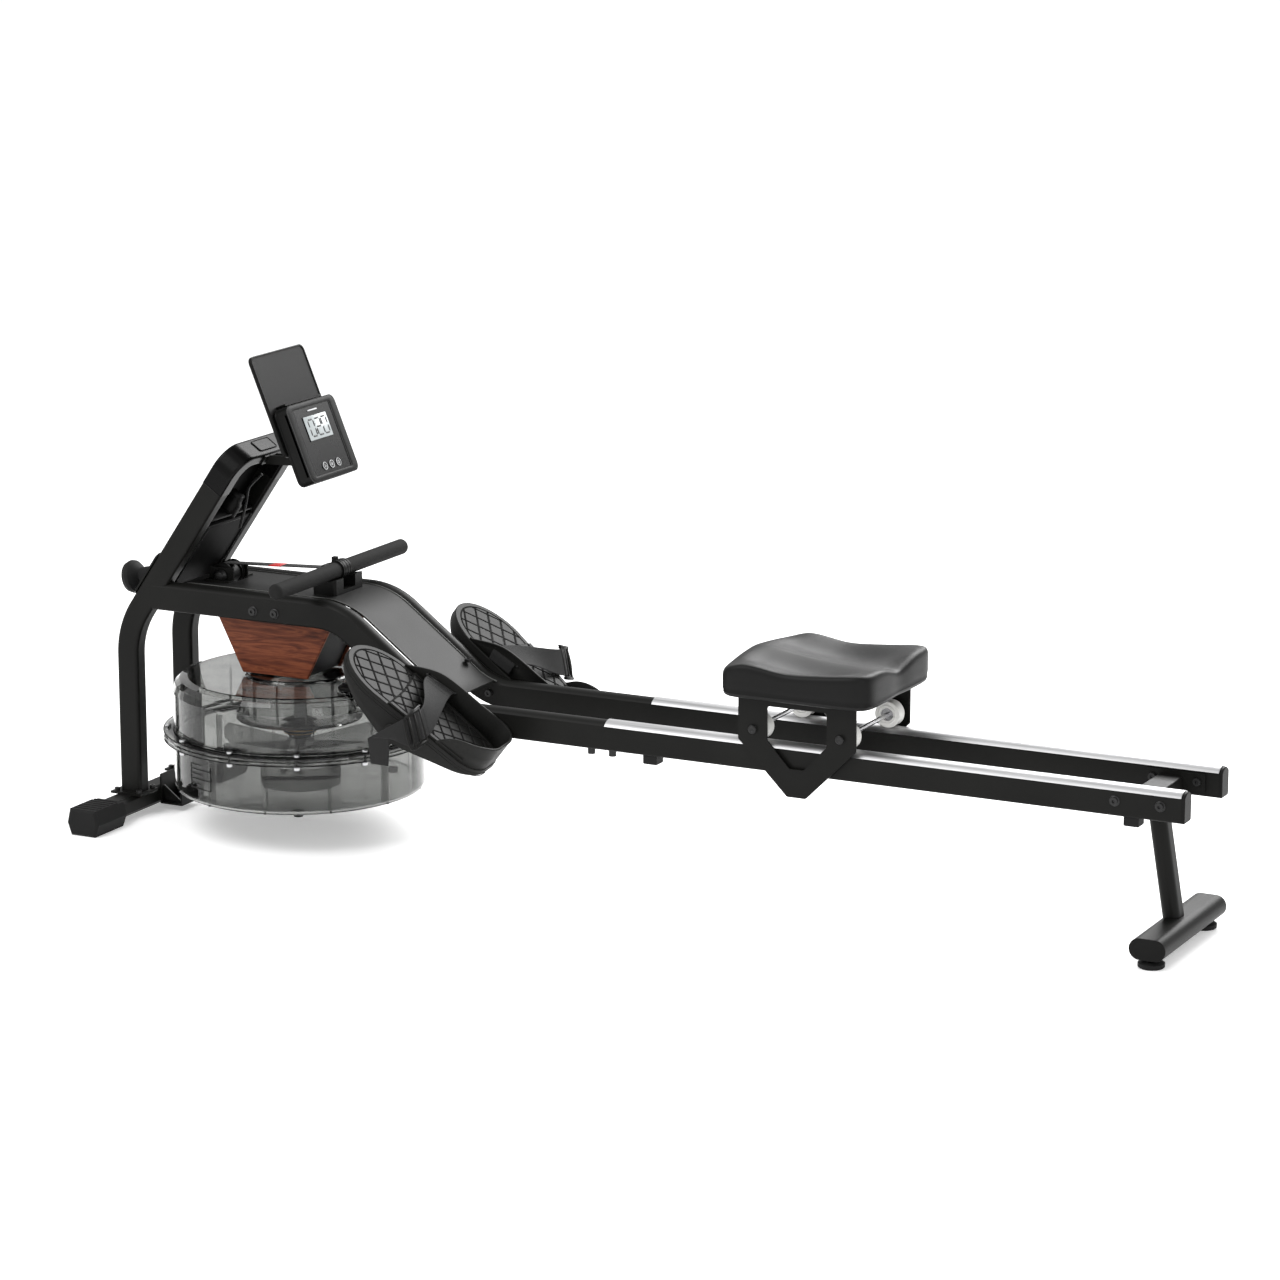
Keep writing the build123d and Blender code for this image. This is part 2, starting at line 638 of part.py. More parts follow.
def dome_outline(base):
    r, t, z = BOWL_RADIUS, TANK_WALL, DOME_TOP_Z
    return [
        (r - t, base), (FLANGE_RADIUS, base), (FLANGE_RADIUS, base + 6), (r, base + 6),
        (r, z - 26), (r - 4, z - 12), (r - 12, z - 4), (r - 26, z), (96, z), (93, z + 3),
        (40, z + 3), (40, z + 5), (SHAFT_RADIUS + 0.5, z + 5), (SHAFT_RADIUS + 0.5, z - 1),
        (86, z), (92, z - t), (r - 27, z - t), (r - 15, z - 7), (r - 8, z - 14), (r - t, z - 27),
    ]


def tank_dome():
    """The upper half, with the shaft's boss and the filler neck."""
    base = FLANGE_Z + GASKET_THICKNESS
    dome = turned(dome_outline(base), TANK_X)
    plug_x = TANK_X + PLUG_PLACE[0] * cos(radians(PLUG_PLACE[1]))
    plug_y = PLUG_PLACE[0] * sin(radians(PLUG_PLACE[1]))
    neck = rod(PLUG_RADIUS + 3, (plug_x, plug_y, DOME_TOP_Z - 10), (plug_x, plug_y, DOME_TOP_Z + 3))
    bore = rod(PLUG_RADIUS - 3, (plug_x, plug_y, DOME_TOP_Z - 20), (plug_x, plug_y, DOME_TOP_Z + 4))
    holes = [
        Pos(TANK_X, 0, 0) * Rot(0, 0, 360 * i / TANK_SCREWS)
        * rod(2.6, (SCREW_CIRCLE, 0, base - 1), (SCREW_CIRCLE, 0, base + 8))
        for i in range(TANK_SCREWS)
    ]
    return dome + neck - bore - holes


def filler_plug():
    plug_x = TANK_X + PLUG_PLACE[0] * cos(radians(PLUG_PLACE[1]))
    plug_y = PLUG_PLACE[0] * sin(radians(PLUG_PLACE[1]))
    z = DOME_TOP_Z + 3
    cap = rod(PLUG_RADIUS + 2, (plug_x, plug_y, z + 0.2), (plug_x, plug_y, z + 6))
    cap = fillet(cap.faces().sort_by(Axis.Z)[-1].edges(), 2)
    stem = rod(PLUG_RADIUS - 3.1, (plug_x, plug_y, z - 12), (plug_x, plug_y, z + 2))
    bar = block((plug_x - 12, plug_x + 12), (plug_y - 2.5, plug_y + 2.5), (z + 5, z + 10))
    return cap + stem + bar


def tank_foot(angle):
    x = TANK_X + 190 * cos(radians(angle))
    y = 190 * sin(radians(angle))
    return turned([(0, BOWL_FOOT_Z), (10, BOWL_FOOT_Z), (8, BOWL_FOOT_Z - 8), (0, BOWL_FOOT_Z - 8)], x, y)


def tank_screw(index):
    base = FLANGE_Z - 6
    top = FLANGE_Z + GASKET_THICKNESS + 6
    shape = turned([(0, base - 7), (2.5, base - 7), (2.5, base - 5), (5, base - 5), (5, base),
                    (2.5, base), (2.5, top), (4.5, top), (4.5, top + 3.5), (0, top + 3.5)],
                   SCREW_CIRCLE)
    return Pos(TANK_X, 0, 0) * Rot(0, 0, 360 * index / TANK_SCREWS) * shape


def drive_shaft():
    profile = [
        (0, HUB_TOP_Z - 33), (SHAFT_RADIUS, HUB_TOP_Z - 33), (SHAFT_RADIUS, DOME_TOP_Z + 13),
        (15, DOME_TOP_Z + 13), (15, DOME_TOP_Z + 30), (SHAFT_RADIUS, DOME_TOP_Z + 30),
        (SHAFT_RADIUS, HOUSING_Z[1] - 7), (0, HOUSING_Z[1] - 7),
    ]
    return turned(profile, TANK_X)


def impeller():
    """The paddle: a conical hub on the shaft and six pitched blades."""
    z = 130
    hub = turned([(SHAFT_RADIUS, z), (26, z), (30, z + 8), (30, z + 14), (20, z + 30),
                  (SHAFT_RADIUS, z + 62)], TANK_X)
    blade = Plane.XZ * polygon([(12, z + 2), (150, z + 2), (158, z + 10), (158, z + 30),
                                (150, z + 38), (60, z + 30), (18, z + 26)])
    plate = extrude(blade, 1.5, both=True)
    blades = [Pos(TANK_X, 0, 0) * Rot(0, 0, 60 * i) * plate for i in range(6)]
    core = rod(SHAFT_RADIUS, (TANK_X, 0, z - 2), (TANK_X, 0, z + 64))
    return hub + blades - core


# ---------------------------------------------------------------- drive housing
def trapezoid(top_half, foot_half, z_low, z_high):
    x = HOUSING_X
    return polygon([(x - foot_half, z_low), (x + foot_half, z_low), (x + top_half, z_high),
                    (x - top_half, z_high)])


def drive_housing():
    """The black box under the deck that holds the spool; open below for the shaft."""
    low, high = HOUSING_Z[0] + 2, HOUSING_Z[1] + 3.8
    outer = extrude(Plane.XZ * trapezoid(HOUSING_TOP_HALF - 4, HOUSING_FOOT_HALF - 4, low, high),
                    HOUSING_HALF_Y, both=True)
    inner = extrude(
        Plane.XZ * trapezoid(HOUSING_TOP_HALF - 8, HOUSING_FOOT_HALF - 8, low + 4, high - 4),
        HOUSING_HALF_Y - 4, both=True)
    shaft_way = rod(18, (TANK_X, 0, low - 1), (TANK_X, 0, low + 6))
    strap_way = block((TANK_X - 122, TANK_X - 60), (-18, 36), (high - 30, high + 2))
    bearing = tube(14, SHAFT_RADIUS + 0.05, (TANK_X, 0, high - 12), (TANK_X, 0, high - 3))
    tray = block((TANK_X - 54, TANK_X + 54), (-INNER_FACE + 3.2, INNER_FACE - 3.2), (high, high + 3))
    return outer - inner - shaft_way - strap_way + bearing, tray


def wood_panel():
    face = trapezoid(HOUSING_TOP_HALF, HOUSING_FOOT_HALF, *HOUSING_Z)
    panel = extrude(Plane.XZ * face, -PANEL_THICKNESS)
    panel = chamfer(panel.faces().sort_by(Axis.Y)[-1].edges(), 1.2)
    return Pos(0, HOUSING_HALF_Y, 0) * panel


# ---------------------------------------------------------------- console
def console_place(down, out):
    """A plane on the console's face: x points down it, z out of it to the rower."""
    x = CONSOLE_PLACE[0] + down * sin(CONSOLE_TILT) + out * cos(CONSOLE_TILT)
    z = CONSOLE_PLACE[1] - down * cos(CONSOLE_TILT) + out * sin(CONSOLE_TILT)
    return Plane(
        origin=(x, 0, z), x_dir=(sin(CONSOLE_TILT), 0, -cos(CONSOLE_TILT)),
        z_dir=(cos(CONSOLE_TILT), 0, sin(CONSOLE_TILT)),
    )


def console_slab(down, size, out, radius):
    """A rounded plate parallel to the console's face; size is (down, across, thick)."""
    face = console_place(down, out) * RectangleRounded(size[0], size[1], radius)
    return extrude(face, size[2])


def console_shell():
    depth = CONSOLE_SIZE[2]
    body = console_slab(0, CONSOLE_SIZE, -depth, 14)
    cavity = console_slab(0, (CONSOLE_SIZE[0] - 6, CONSOLE_SIZE[1] - 6, depth - 7), -depth + 3, 11)
    recess = console_slab(0, (LENS_SIZE[0] + 1, LENS_SIZE[1] + 1, 4), -3, 8)
    display = console_slab(-22, (DISPLAY_SIZE[0] + 1, DISPLAY_SIZE[1] + 1, 8), -6, 2)
    holes = [
        extrude(console_place(BUTTON_DROP, -6) * Pos(0, y, 0) * Circle(BUTTON_RADIUS + 0.3), 8)
        for y in (-BUTTON_SPACING, 0, BUTTON_SPACING)
    ]
    lug_place = console_place(30, -depth)
    lug = lug_place * Pos(0, 0, -8) * Box(26, 18, 16)
    pivot = console_pivot()
    eye = rod(9, (pivot[0], -9, pivot[1]), (pivot[0], 9, pivot[1]))
    pin_hole = rod(4.05, (pivot[0], -10, pivot[1]), (pivot[0], 10, pivot[1]))
    return body - cavity - recess - display - holes + lug + eye - pin_hole


def console_pivot():
    origin = console_place(30, -CONSOLE_SIZE[2] - 16).origin
    return origin.X, origin.Z


def console_lens():
    plate = console_slab(0, LENS_SIZE, -2.8, 7.5)
    holes = [
        extrude(console_place(BUTTON_DROP, -4) * Pos(0, y, 0) * Circle(BUTTON_RADIUS + 0.3), 8)
        for y in (-BUTTON_SPACING, 0, BUTTON_SPACING)
    ]
    return plate - holes


def console_button(y):
    return extrude(console_place(BUTTON_DROP, -5) * Pos(0, y, 0) * Circle(BUTTON_RADIUS), 5.2)


def tablet_holder():
    """The tall plate behind the console that a tablet leans on, with its bottom lip."""
    behind = CONSOLE_SIZE[2] + HOLDER_GAP
    plate = console_slab(-80, HOLDER_SIZE, -behind - HOLDER_SIZE[2], 12)
    lip = console_slab(-CONSOLE_SIZE[0] / 2 - 4, (4, 120, 20), -behind - 1, 1.5)
    return plate + lip


def console_arm():
    """The steel bracket from the arch up to the console's tilt pivot."""
    pivot = console_pivot()
    root = lean_place(236, UPRIGHT_DEPTH + 0.6).origin
    along = Vector(pivot[0] - root.X, 0, pivot[1] - root.Z)
    flange = lean_block((229, 247), (-24, 24), (UPRIGHT_DEPTH + 0.6, UPRIGHT_DEPTH + 3.6))
    cheeks = []
    for side in (1, -1):
        y = (9.4, 12.4) if side > 0 else (-12.4, -9.4)
        eye = rod(9, (pivot[0], y[0], pivot[1]), (pivot[0], y[1], pivot[1]))
        turn = Rot(0, -degrees(atan2(along.Z, along.X)), 0)
        arm = Pos(root.X, 0, root.Z) * turn * block((0, along.length), y, (-8, 8))
        cheeks.append(arm + eye)
    pin = rod(4.0, (pivot[0], -14, pivot[1]), (pivot[0], 14, pivot[1]))
    behind = lean_block((100, 400), (-60, 60), (0, UPRIGHT_DEPTH + 0.6))
    return flange + cheeks + pin - behind


# ---------------------------------------------------------------- pedals
def pedal_place(along, height, across=0.0):
    """A plane on the right pedal's tread: x points down to the heel, z out of the tread."""
    down = Vector(cos(PEDAL_ANGLE), 0, -sin(PEDAL_ANGLE))
    out = Vector(sin(PEDAL_ANGLE), 0, cos(PEDAL_ANGLE))
    side = Vector(0, 1, 0)
    heel_way = down * cos(TOE_OUT) - side * sin(TOE_OUT)
    outward = down * sin(TOE_OUT) + side * cos(TOE_OUT)
    start = Vector(PEDAL_TOP[0], PEDAL_Y, PEDAL_TOP[1]) + down * TOE_OUT_ALONG
    origin = start + heel_way * (along - TOE_OUT_ALONG) + outward * across + out * height
    return Plane(origin=origin, x_dir=heel_way, z_dir=out)


def sole_face(inset=0.0):
    """A shoe-sole outline: a half-elliptic toe and a heel with round corners."""
    toe, heel, end = TOE_HALF - inset, HEEL_HALF - inset, PEDAL_LENGTH - inset
    nose = EllipticalCenterArc((TOE_LENGTH, 0), TOE_LENGTH - inset, toe, 90, arc_size=180)
    back = Polyline((TOE_LENGTH, toe), (end, heel), (end, -heel), (TOE_LENGTH, -toe))
    face = make_face(nose.edges() + back.edges())
    return fillet(face.vertices().sort_by(Axis.X)[-2:], HEEL_RADIUS - inset)


def side_plane(across):
    """The pedal's side view: x down the tread, y out of it, looking outwards."""
    place = pedal_place(0, 0, across)
    return Plane(origin=place.origin, x_dir=place.x_dir, z_dir=-place.y_dir)


def pedal_side(points, low, high):
    """A slab whose side view is given in the pedal's own plane, from low to high across it."""
    return extrude(side_plane(low) * polygon(points), low - high)


def pedal():
    """A wedge-shaped moulding: oval tread on top, hollow below."""
    place = pedal_place(0, 0)
    column = extrude(pedal_place(0, -200) * sole_face(), 400)
    wedge_x, wedge_z = WEDGE_POINT
    outline = [(0, 0), (PEDAL_LENGTH, 0), (PEDAL_LENGTH, -10), (wedge_x + 14, wedge_z),
               (wedge_x - 8, wedge_z), (0, -14)]
    body = pedal_side(outline, -100, 100) & column
    t = PEDAL_SHELL
    inner_column = extrude(pedal_place(0, -200) * sole_face(t), 400)
    below = [(-1, -t), (PEDAL_LENGTH + 1, -t), (PEDAL_LENGTH + 1, -90), (-1, -90)]
    hollow = pedal_side(below, -100, 100) & inner_column
    shell = body - hollow
    for x, depth in ((62, 26), (wedge_x, 54), (236, 26)):
        shell += (place * Pos(x, 0, -depth / 2 - 2) * Box(t, 2 * TOE_HALF, depth)) & body
    for x, z in PEDAL_BOLTS:
        shell += rod(11, (x, OUTER_FACE + 0.1, z), (x, PEDAL_Y - TOE_HALF + 12, z))
    return shell


def heel_cup():
    """The sliding heel cup: a floor, a high inner wall and a low outer one."""
    place = pedal_place(0, 0.3)
    wall = extrude(place * (sole_face(CUP_GAP) - sole_face(CUP_GAP + CUP_WALL)), 60)
    floor = extrude(place * sole_face(CUP_GAP), CUP_WALL)
    inner_keep = pedal_side([*INNER_RIM, (322, -2), (76, -2)], -90, 0)
    outer_keep = pedal_side([*OUTER_RIM, (322, -2), (222, -2)], 0, 90)
    ahead = place * Pos(CUP_START - 100, 0, 0) * Box(200, 200, 20)
    return (wall & inner_keep) + (wall & outer_keep) + (floor - ahead)


def band_section(station, thickness):
    """An upright slice across the band at one distance from the tread's centre line."""
    across, (near, far) = station
    along = Vector(far[0] - near[0], far[1] - near[1])
    square = Vector(-along.Y, along.X).normalized() * (thickness / 2)
    corners = [
        (near[0] + square.X, near[1] + square.Y), (far[0] + square.X, far[1] + square.Y),
        (far[0] - square.X, far[1] - square.Y), (near[0] - square.X, near[1] - square.Y),
    ]
    return (side_plane(across) * polygon(corners)).face()


def foot_strap():
    """Webbing over the foot from the inner wall to the buckle, and its hanging end."""
    inner = band_section(BAND_INNER, WEBBING_THICKNESS)
    outer = band_section(BAND_OUTER, WEBBING_THICKNESS)
    band = Solid.make_loft([inner.outer_wire(), outer.outer_wire()], ruled=True)
    root = band_section(BAND_OUTER, 8)
    tip = band_section(BUCKLE_OUTER, 8)
    buckle = Solid.make_loft([root.outer_wire(), tip.outer_wire()], ruled=True)
    tail = extrude(Plane(origin=(0, TAIL_Y[0], 0), x_dir=(1, 0, 0), z_dir=(0, -1, 0))
                   * polygon(TAIL_OUTLINE), TAIL_Y[0] - TAIL_Y[1])
    return band + buckle, tail


# ---------------------------------------------------------------- rear stand
def rear_stand():
    """Cross member between the rails, the post and the flat-oval foot tube, welded."""
    cross = block(CROSS_X, (-INNER_FACE + 4, INNER_FACE - 4), CROSS_Z)
    cross = fillet(cross.edges().filter_by(Axis.Y), 4)
    flange = block((1562, 1664), (INNER_FACE - 4, INNER_FACE - 0.1), (243, 275))
    foot_face = Plane(origin=(STAND_X, -STAND_HALF, STAND_TUBE_Z), x_dir=(1, 0, 0), z_dir=(0, 1, 0))
    width, height = STAND_TUBE
    oval = SlotOverall(width, height)
    bore = SlotOverall(width - 4, height - 4)
    foot = extrude(foot_face * oval, 2 * STAND_HALF)
    foot_bore = extrude(foot_face * bore, 2 * STAND_HALF)
    low = (STAND_X - 6, STAND_TUBE_Z)
    high = (POST_TOP_X, CROSS_Z[0] + 10)
    along = Vector(high[0] - low[0], 0, high[1] - low[1])
    post_place = Plane(origin=(low[0], 0, low[1]), x_dir=(0, 1, 0), z_dir=along)
    post = extrude(post_place * RectangleRounded(40, 30, 13), along.length)
    stud_way = rod(STUD_RADIUS + 0.05, (STAND_X, LEVEL_FOOT_Y, 0), (STAND_X, LEVEL_FOOT_Y, 31))
    legs = (foot + post) - foot_bore - stud_way - mirrored(stud_way)
    return cross + flange + mirrored(flange) + legs


def stand_cap():
    width, height = STAND_TUBE
    place = Plane(origin=(STAND_X, STAND_HALF, STAND_TUBE_Z), x_dir=(1, 0, 0), z_dir=(0, 1, 0))
    cap = extrude(place * SlotOverall(width, height), 4)
    return fillet(cap.faces().sort_by(Axis.Y)[-1].edges(), 1.5)


def levelling_foot():
    y = LEVEL_FOOT_Y
    return turned([(0, 0), (LEVEL_FOOT_RADIUS - 2, 0), (LEVEL_FOOT_RADIUS, 2),
                   (LEVEL_FOOT_RADIUS, LEVEL_FOOT_HEIGHT - 4), (LEVEL_FOOT_RADIUS - 6, LEVEL_FOOT_HEIGHT),
                   (0, LEVEL_FOOT_HEIGHT)], STAND_X, y)


def levelling_stud():
    return rod(STUD_RADIUS, (STAND_X, LEVEL_FOOT_Y, 8), (STAND_X, LEVEL_FOOT_Y, 30))


def seat_stop(station):
    x, y, z = STOP_SIZE
    pad = block((station - x / 2, station + x / 2), (HALF_TRACK - y / 2, HALF_TRACK + y / 2),
                (RAIL_FOOT - z, RAIL_FOOT))
    return fillet(pad.faces().sort_by(Axis.Z)[0].edges(), 3)


# ---------------------------------------------------------------- seat carriage
def carriage_side():
    low = KEEPER_Z - 23
    points = [(-PLATE_HALF, PLATE_TOP), (-PLATE_HALF, 288.5), (-17, low), (17, low),
              (PLATE_HALF, 288.5), (PLATE_HALF, PLATE_TOP)]
    window = [(-54, 349), (-54, 291), (-13, 247), (13, 247), (54, 291), (54, 349)]
    outer = extrude(Plane.XZ * polygon(points), -PLATE_THICKNESS)
    outer = fillet(outer.edges().filter_by(Axis.Y).sort_by(Axis.Z)[:4], 6)
    hole = extrude(Plane.XZ * polygon(window), -PLATE_THICKNESS)
    hole = fillet(hole.edges().filter_by(Axis.Y), 5)
    return Pos(SEAT_X, PLATE_INNER, 0) * (outer - hole)


def carriage_frame():
    """Two side plates joined by the seat plate above and the keeper bar below the rails."""
    top = block((SEAT_X - 100, SEAT_X + 100), (-PLATE_INNER, PLATE_INNER), (PLATE_TOP - 4, PLATE_TOP))
    window = block((SEAT_X - 60, SEAT_X + 60), (-60, 60), (PLATE_TOP - 5, PLATE_TOP + 1))
    keeper = rod(KEEPER_RADIUS, (SEAT_X, -PLATE_INNER, KEEPER_Z), (SEAT_X, PLATE_INNER, KEEPER_Z))
    side = carriage_side()
    whole = side + mirrored(side) + (top - window) + keeper
    for x in (-AXLE_SPACING / 2, AXLE_SPACING / 2):
        reach = PLATE_INNER + 10
        whole -= rod(AXLE_RADIUS + 0.05, (SEAT_X + x, -reach, AXLE_Z), (SEAT_X + x, reach, AXLE_Z))
    return whole


def roller_axle(x):
    end = PLATE_INNER + PLATE_THICKNESS
    axle = rod(AXLE_RADIUS, (SEAT_X + x, -end - 1, AXLE_Z), (SEAT_X + x, end + 1, AXLE_Z))
    head = bolt_head((SEAT_X + x, end, AXLE_Z), (0, 1, 0), 6.5, 4)
    return axle + head + mirrored(head)


def roller(x, y):
    """A white wheel whose tread is hollowed to sit on the strip's crown."""
    half = ROLLER_WIDTH / 2
    lip = half - 0.8
    ride = CROWN_RADIUS + STRIP_GAP + STRIP_THICKNESS
    centre = AXLE_Z - (RAIL_TOP - CROWN_RADIUS)
    grip_radius = ride + ROLLER_CLEARANCE
    edge = centre - sqrt(grip_radius**2 - lip**2)
    middle = centre - grip_radius
    bore = BEARING_RADIUS + 0.04
    tread = ThreePointArc((edge, -lip), (middle, 0), (edge, lip))
    outline = Polyline((edge, lip), (edge - 1, half), (bore, half), (bore, -half),
                       (edge - 1, -half), (edge, -lip))
    face = Plane.XZ * make_face(tread.edges() + outline.edges())
    wheel = revolve(face, Axis.Z)
    return Plane(origin=(SEAT_X + x, y, AXLE_Z), z_dir=(0, 1, 0)) * wheel


def roller_bearing(x, y):
    half = BEARING_WIDTH / 2
    profile = [(AXLE_RADIUS + 0.03, -half), (BEARING_RADIUS, -half), (BEARING_RADIUS, half),
               (AXLE_RADIUS + 0.03, half)]
    ring = revolve(Plane.XZ * polygon(profile), Axis.Z)
    return Plane(origin=(SEAT_X + x, y, AXLE_Z), z_dir=(0, 1, 0)) * ring


def seat_pad():
    """A moulded foam saddle: high at the sides and the front, low in the middle."""
    low = PLATE_TOP + 0.2
    middle = SEAT_X + SEAT_OFFSET
    top = Spline(*[(x, z) for x, z in SEAT_PROFILE])
    sides = Polyline(SEAT_PROFILE[-1], (SEAT_LENGTH / 2, 0), (-SEAT_LENGTH / 2, 0), SEAT_PROFILE[0])
    side_view = Plane.XZ * make_face(top.edges() + sides.edges())
    body = Pos(middle, 0, low) * extrude(side_view, SEAT_WIDTH / 2, both=True)
    plan = Pos(middle, 0, low) * extrude(RectangleRounded(SEAT_LENGTH, SEAT_WIDTH, 26), 100)
    channel = rod(60, (middle + 40, 0, low + 108), (middle + 160, 0, low + 102))
    hollow = Pos(middle - 10, 0, low + 49 + 212) * Sphere(220)
    return (body & plan) - channel - hollow


# ---------------------------------------------------------------- fasteners and cable
def frame_bolts():
    """Every socket-head screw in the frame."""
    heads = []
    for x in (-322, -276):
        for y in (HALF_TRACK - 22, HALF_TRACK + 22):
            heads.append(bolt_head((x, y, FOOT_BAR_Z[1] + SADDLE_THICKNESS), (0, 0, 1), 5, 6))
    for x in (627, 667):
        heads.append(bolt_head((x, HALF_TRACK, RAIL_FOOT), (0, 0, -1), 6.5, 12))
    for x in (1574, 1651):
        heads.append(bolt_head((x, OUTER_FACE, RAIL_Z), (0, 1, 0)))
        heads.append(bolt_head((x, INNER_FACE - 4, RAIL_Z), (0, -1, 0)))
    for x in (-32, 12):
        heads.append(bolt_head((x, OUTER_FACE, BEAM_Z - 7), (0, 1, 0)))
    for x, z in PEDAL_BOLTS:
        heads.append(bolt_head((x, INNER_FACE, z), (0, -1, 0), 6, 6))
    heads.append(bolt_head((306, 60, 0), (0, 0, 1)).moved(Pos(0, 0, deck_height(306) + 0.1)))
    return heads + [mirrored(head) for head in heads]


def deck_height(x):
    """The top of the deck cover on its straight slope."""
    corner = TOP_BEND + 22 * tan(SLOPE / 2)
    return BEAM_Z + 22 - (x - corner) * tan(SLOPE) + 6.5 * tan(SLOPE)


def sensor_cable():
    """The lead from the speed sensor in the housing up to the console's arm."""
    route = [
        (-140, 30, 520), (-128, 34, 566), (-116, 22, 596), (-96, 12, 612), (-80, 12, 626),
    ]
    radii = cable_radii(route)
    path = FilletPolyline(*route, radius=radii)
    start = Plane(origin=route[0], z_dir=Vector(*route[1]) - Vector(*route[0]))
    return sweep(start * Circle(2.5), path=path)


def cable_radii(route):
    radii = []
    for before, here, after in zip(route, route[1:], route[2:]):
        first = Vector(*here) - Vector(*before)
        second = Vector(*after) - Vector(*here)
        shorter = min(first.length, second.length)
        radii.append(0.45 * shorter / tan(radians(first.get_angle(second)) / 2))
    return radii


# ---------------------------------------------------------------- build
def both(shape):
    return shape, mirrored(shape)


save("front_foot_bar", foot_bar(), tank_bracket())
save("foot_caps", *both(foot_cap()))
save("upright_right", upright())
save("upright_left", mirrored(upright()))
save("beam_right", beam())
save("beam_left", mirrored(beam()))
save("rail_right", rail())
save("rail_left", mirrored(rail()))
save("rail_strips", *both(strip()))
save("tube_end_caps", *both(rail_cap()), *both(stand_cap()))
save("rear_stand", rear_stand())
for side, name in ((1, "right"), (-1, "left")):
    foot = levelling_foot() + levelling_stud()
    save(f"levelling_foot_{name}", foot if side > 0 else mirrored(foot))
stops = [seat_stop(station) for station in STOP_STATIONS]
save("seat_stops", *stops, *[mirrored(stop) for stop in stops])
save("deck_cover", deck_cover())
save("bumper_plate", bumper_plate())
save("storage_bumper", storage_bumper())
save("front_panel", front_panel())
save("arch_cap", arch_cap(), cap_hatch())
save("handle_rest", handle_rest())
save("pulley_bracket", *pulley_bracket())
housing, tray = drive_housing()
save("drive_housing", housing, tray, *both(hanger_rails()))
save("wood_panels", *both(wood_panel()))
save("tank_bowl", tank_bowl())
save("tank_dome", tank_dome())
save("tank_gasket", tank_gasket())
save("tank_feet", *[tank_foot(angle) for angle in (60, 120, 240, 300)])
save("fasteners", *frame_bolts(), *[tank_screw(i) for i in range(TANK_SCREWS)])
save("sensor_cable", sensor_cable())
save("console_arm", console_arm())
save("console_shell", console_shell())
save("console_lens", console_lens())
save("display_panel", console_slab(-22, DISPLAY_SIZE, -5, 1.5))
save("tablet_holder", tablet_holder())
for y, name in ((-BUTTON_SPACING, "left"), (0, "middle"), (BUTTON_SPACING, "right")):
    save(f"console_button_{name}", console_button(y))
save("handle_bar", handle_bar())
save("handle_grips", *both(grip()))
save("strap_clamp", strap_clamp())
save("pull_strap", *pull_strap())
save("guide_pulley", guide_pulley())
save("strap_spool", strap_spool())
save("drive_shaft", drive_shaft())
save("impeller", impeller())
save("filler_plug", filler_plug())
save("pedal_right", pedal())
save("pedal_left", mirrored(pedal()))
save("heel_cup_right", heel_cup())
save("heel_cup_left", mirrored(heel_cup()))
save("foot_strap_right", *foot_strap())
save("foot_strap_left", *[mirrored(piece) for piece in foot_strap()])
save("seat_pad", seat_pad())
save("carriage_frame", carriage_frame())
save("roller_axles", *[roller_axle(x) for x in (-AXLE_SPACING / 2, AXLE_SPACING / 2)])
for x, end in ((-AXLE_SPACING / 2, "front"), (AXLE_SPACING / 2, "rear")):
    for y, side in ((HALF_TRACK, "right"), (-HALF_TRACK, "left")):
        save(f"roller_{end}_{side}", roller(x, y))
rings = []
for x in (-AXLE_SPACING / 2, AXLE_SPACING / 2):
    for y in (-HALF_TRACK, HALF_TRACK):
        for inset in (-ROLLER_WIDTH / 2 + BEARING_WIDTH / 2, ROLLER_WIDTH / 2 - BEARING_WIDTH / 2):
            rings.append(roller_bearing(x, y + inset))
save("roller_bearings", *rings)
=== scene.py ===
import math

import bmesh
import bpy
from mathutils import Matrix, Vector, noise


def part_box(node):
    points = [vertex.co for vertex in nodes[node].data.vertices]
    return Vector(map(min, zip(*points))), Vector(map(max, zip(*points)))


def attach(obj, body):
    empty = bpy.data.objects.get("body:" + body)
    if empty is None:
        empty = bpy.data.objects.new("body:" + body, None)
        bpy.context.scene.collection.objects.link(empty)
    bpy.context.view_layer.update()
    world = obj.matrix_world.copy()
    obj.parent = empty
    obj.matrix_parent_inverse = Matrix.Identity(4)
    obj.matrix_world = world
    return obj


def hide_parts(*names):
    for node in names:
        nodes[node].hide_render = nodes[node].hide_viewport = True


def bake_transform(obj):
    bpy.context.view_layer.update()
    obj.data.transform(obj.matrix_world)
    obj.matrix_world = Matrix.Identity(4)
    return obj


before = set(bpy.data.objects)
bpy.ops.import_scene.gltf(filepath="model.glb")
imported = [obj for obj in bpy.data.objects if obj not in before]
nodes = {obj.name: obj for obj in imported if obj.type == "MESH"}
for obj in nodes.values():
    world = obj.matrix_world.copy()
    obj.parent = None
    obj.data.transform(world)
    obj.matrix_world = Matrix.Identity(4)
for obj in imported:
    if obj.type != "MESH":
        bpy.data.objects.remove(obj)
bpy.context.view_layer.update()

# Places are in metres, x rearwards from the CAD source's origin, y to the right and z up.
TANK_X = -0.004
MIDDLE = (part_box("tank_dome")[0].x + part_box("tank_dome")[1].x) / 2 - TANK_X
ORIGIN = Vector((MIDDLE, 0, 0))


def at(x, y, z):
    return Vector((x, y, z)) + ORIGIN


